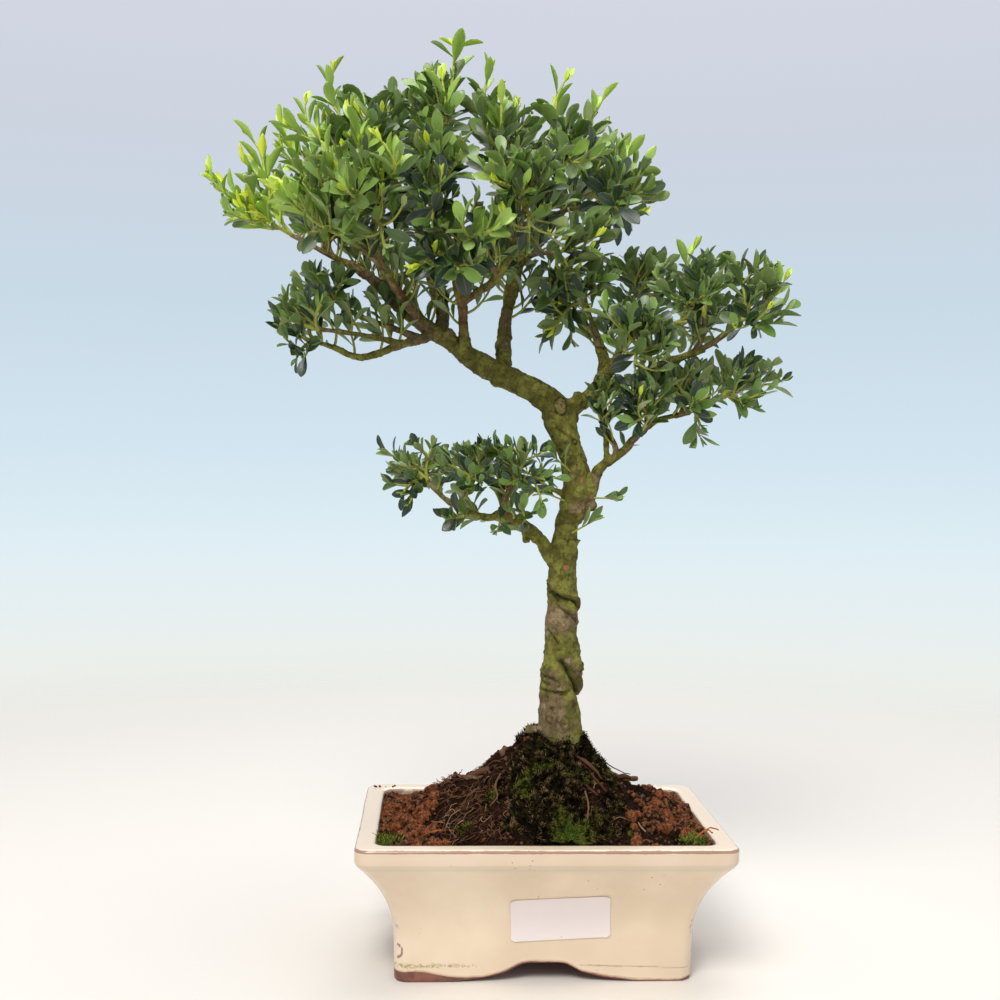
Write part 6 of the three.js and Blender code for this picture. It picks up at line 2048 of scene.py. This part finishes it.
def plan_limb_shoots(seed):
    """Leafy shoots that stand straight on the limbs and fill the crown from inside"""
    spray = Spray(group_of("limb_shoots"), seed)
    draw = spray.draw
    for limb, (count, first) in LIMB_SHOOTS.items():
        path = smooth_path(LIMBS[limb], 2)
        for k in range(count):
            share = first + (1 - first) * (k + draw.uniform(0, 0.9)) / count
            i = min(int(share * (len(path) - 1)), len(path) - 2)
            start = Vector(path[i][:3])
            along = (Vector(path[i + 1][:3]) - start).normalized()
            side = spray.next_side(along)
            if side.y < -0.45 and start.y < 15 and start.z > 300:
                side.y = -side.y
            side.z = abs(side.z) if side.z < -0.45 or start.z > 290 else side.z
            low = 0.05 if start.z < 290 else 0.5
            goal = (side + along * 0.45 + UP * low).normalized()
            tip = inside_box(start + goal * (path[i][3] + draw.uniform(11, 25)), 4)
            spray.shoot(start, side, tip, 0.8, draw.uniform(0, 0.16), 0.35, draw.uniform(0.7, 1.0), 7,
                        shaded=start.z > 300)
    for start, tip in TRUNK_SPROUTS:
        start, tip = Vector(start), Vector(tip)
        spray.shoot(start, (tip - start).normalized(), tip, 0.6, 0.15, 0.4, 0.85, 4)
    return spray


class BONSAI_OT_foliage(bpy.types.Operator):
    """Leafy sprays and lime-green new shoots, one piece for each solid"""
    bl_idname = "bonsai.foliage"
    bl_label = "Foliage"

    def execute(self, context):
        look = settings("leaf")
        tree = spray_tree()
        forms = leaf_shapes()
        stem, leaf = stem_finish(), leaf_finish()
        ends = {}
        for n, name in enumerate(SPRAYS):
            spray, ends[name] = plan_spray(name, look.seed + n)
            piece = spray.to_mesh(name + "_spray", tree, forms, stem, leaf)
            present(piece, replaced=[name])
        for n, (name, (carrier, index, tip)) in enumerate(NEW_SHOOTS.items()):
            start, heading = ends[carrier][index]
            spray = Spray(group_of(name), look.seed + 200 + n)
            goal = inside_box(Vector(tip), 5)
            long_leaved = 1.3 if name == "new_shoot_peak" else 1.0
            spray.shoot(start, heading, goal, look.shoot_radius / MM, 0.66, 0.1, long_leaved, 7)
            piece = spray.to_mesh(name + "_leaves", tree, forms, stem, leaf)
            present(piece, replaced=[name])
        inner = plan_limb_shoots(look.seed + 400)
        present(inner.to_mesh("limb_shoots", tree, forms, stem, leaf))
        discard_collection(forms)
        return {"FINISHED"}


# The camera's place in millimetres from the middle of the bowl's feet, and its turn
CAMERA_AT = (-57.286, -678.586, 253.205)
CAMERA_PITCH = 0.0177606
CAMERA_ROLL = 0.0142643
CAMERA_YAW = -0.05027533
CAMERA_LENS = 45.65

# Lights: place in metres from the middle of the bowl's feet, size, power and colour
LIGHTS = [
    ("key light", (-0.5, -1.2, 1.6), 0.9, 30, (1.0, 0.98, 0.945)),
    ("overhead light", (0.1, 0.1, 1.9), 1.1, 13, (1.0, 0.99, 0.97)),
    ("fill light", (1.1, -0.9, 0.9), 1.4, 3, (0.95, 0.98, 1.0)),
    ("back light", (0.2, 1.3, 1.5), 1.4, 9, (0.96, 0.98, 1.0)),
]

# How strongly the surroundings light the plant, and the sheet's colours by the height that one looks up to
SKY_LIGHT = 0.48
SHEET = [(-0.28, (248, 243, 236)), (-0.15, (237, 240, 235)), (-0.06, (225, 239, 245)),
         (0.02, (211, 229, 240)), (0.135, (201, 218, 231)), (0.247, (204, 212, 224)), (0.36, (212, 215, 227))]


def camera_turn():
    """The turn from the frame to the camera: right, forward and up as rows"""
    cy, sy = math.cos(CAMERA_YAW), math.sin(CAMERA_YAW)
    cp, sp = math.cos(CAMERA_PITCH), math.sin(CAMERA_PITCH)
    cr, sr = math.cos(CAMERA_ROLL), math.sin(CAMERA_ROLL)
    yaw = np.array([[cy, sy, 0], [-sy, cy, 0], [0, 0, 1]])
    pitch = np.array([[1, 0, 0], [0, cp, -sp], [0, sp, cp]])
    roll = np.array([[cr, 0, sr], [0, 1, 0], [-sr, 0, cr]])
    return roll @ pitch @ yaw


class BONSAI_OT_stage(bpy.types.Operator):
    """Pale floor, soft studio light and the camera"""
    bl_idname = "bonsai.stage"
    bl_label = "Stage"

    def execute(self, context):
        scene = context.scene
        right, forward, up = camera_turn()
        camera = bpy.data.objects.new("camera", bpy.data.cameras.new("camera"))
        camera.data.sensor_width = 36
        camera.data.lens = CAMERA_LENS
        camera.data.clip_start = 0.01
        turn = Matrix((right, up, -forward)).transposed().to_4x4()
        camera.matrix_world = Matrix.Translation(Vector(in_frame([CAMERA_AT])[0])) @ turn
        scene.collection.objects.link(camera)
        scene.camera = camera
        self.floor()
        for row in LIGHTS:
            self.light(*row)
        self.surroundings(scene)
        scene.view_settings.view_transform = "Standard"
        return {"FINISHED"}

    def floor(self):
        turns = np.linspace(0, math.tau, 96, endpoint=False)
        reach = FLOOR_END / MM
        ring = np.column_stack([reach * np.cos(turns), reach * np.sin(turns), np.full(96, -0.1)])
        obj = mesh_object("floor", ring, [tuple(range(96))])
        obj.data.materials.append(floor_finish())
        obj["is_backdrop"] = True

    def light(self, name, place, size, power, colour):
        lamp = bpy.data.lights.new(name, "AREA")
        lamp.shape = "DISK"
        lamp.size = size
        lamp.energy = power
        lamp.color = colour
        obj = bpy.data.objects.new(name, lamp)
        obj.location = Vector(place) + BOWL_CENTRE
        aim = Vector((0, 0, 0.25)) + BOWL_CENTRE - obj.location
        obj.rotation_euler = aim.to_track_quat("-Z", "Y").to_euler()
        bpy.context.scene.collection.objects.link(obj)

    def surroundings(self, scene):
        """Soft light from all round, and a pale sheet behind that fades from cream to blue-grey"""
        world = bpy.data.worlds.new("studio")
        world.use_nodes = True
        nodes = Nodes(world.node_tree)
        background = world.node_tree.nodes["Background"]
        direction = nodes.out("ShaderNodeTexCoord", output="Generated")
        height = nodes.out("ShaderNodeSeparateXYZ", {"Vector": direction}, "Z")
        low, high = SHEET[0][0], SHEET[-1][0]
        share = nodes.out("ShaderNodeMapRange", {"Value": height, "From Min": low, "From Max": high})
        ramp = nodes.add("ShaderNodeValToRGB", {"Fac": share})
        for n, (at, colour) in enumerate(SHEET):
            spot = (at - low) / (high - low)
            stops = ramp.color_ramp.elements
            stop = stops[0] if n == 0 else stops[-1] if n == len(SHEET) - 1 else stops.new(spot)
            stop.color = (*shade(*colour), 1)
        paths = nodes.add("ShaderNodeLightPath").outputs
        mirrored = nodes.out("ShaderNodeMath", {0: paths["Is Glossy Ray"], 1: 0.6}, operation="MULTIPLY")
        seen = nodes.out("ShaderNodeMath", {0: paths["Is Camera Ray"], 1: mirrored}, operation="MAXIMUM")
        strength = nodes.out("ShaderNodeMapRange", {"Value": seen, "To Min": SKY_LIGHT, "To Max": 1.0})
        world.node_tree.links.new(ramp.outputs["Color"], background.inputs["Color"])
        world.node_tree.links.new(strength, background.inputs["Strength"])
        scene.world = world


class BONSAI_PT_panel(bpy.types.Panel):
    bl_idname = "BONSAI_PT_panel"
    bl_label = "Holly bonsai"
    bl_space_type = "VIEW_3D"
    bl_region_type = "UI"
    bl_category = "Bonsai"

    def draw(self, context):
        for operator in OPERATORS:
            self.layout.operator(operator.bl_idname)
        for name, group in SETTINGS.items():
            box = self.layout.box()
            box.label(text=name.capitalize())
            for key in group.__annotations__:
                box.prop(settings(name), key)


SETTINGS = {"bowl": BowlSettings, "soil": SoilSettings, "moss": MossSettings, "wood": WoodSettings,
            "leaf": LeafSettings}
OPERATORS = (BONSAI_OT_stage, BONSAI_OT_bowl, BONSAI_OT_label, BONSAI_OT_soil, BONSAI_OT_grains,
             BONSAI_OT_rootlets, BONSAI_OT_moss, BONSAI_OT_wood, BONSAI_OT_foliage)


def register():
    for item in (*SETTINGS.values(), *OPERATORS, BONSAI_PT_panel):
        bpy.utils.register_class(item)
    for name, group in SETTINGS.items():
        setattr(bpy.types.Scene, "bonsai_" + name, PointerProperty(type=group))


def unregister():
    for name in SETTINGS:
        delattr(bpy.types.Scene, "bonsai_" + name)
    for item in reversed((*SETTINGS.values(), *OPERATORS, BONSAI_PT_panel)):
        bpy.utils.unregister_class(item)


def main():
    register()
    bpy.ops.bonsai.stage()
    bpy.ops.bonsai.bowl()
    bpy.ops.bonsai.label()
    bpy.ops.bonsai.soil()
    bpy.ops.bonsai.grains()
    bpy.ops.bonsai.rootlets()
    bpy.ops.bonsai.moss()
    bpy.ops.bonsai.wood()
    bpy.ops.bonsai.foliage()


if __name__ == "__main__":
    main()
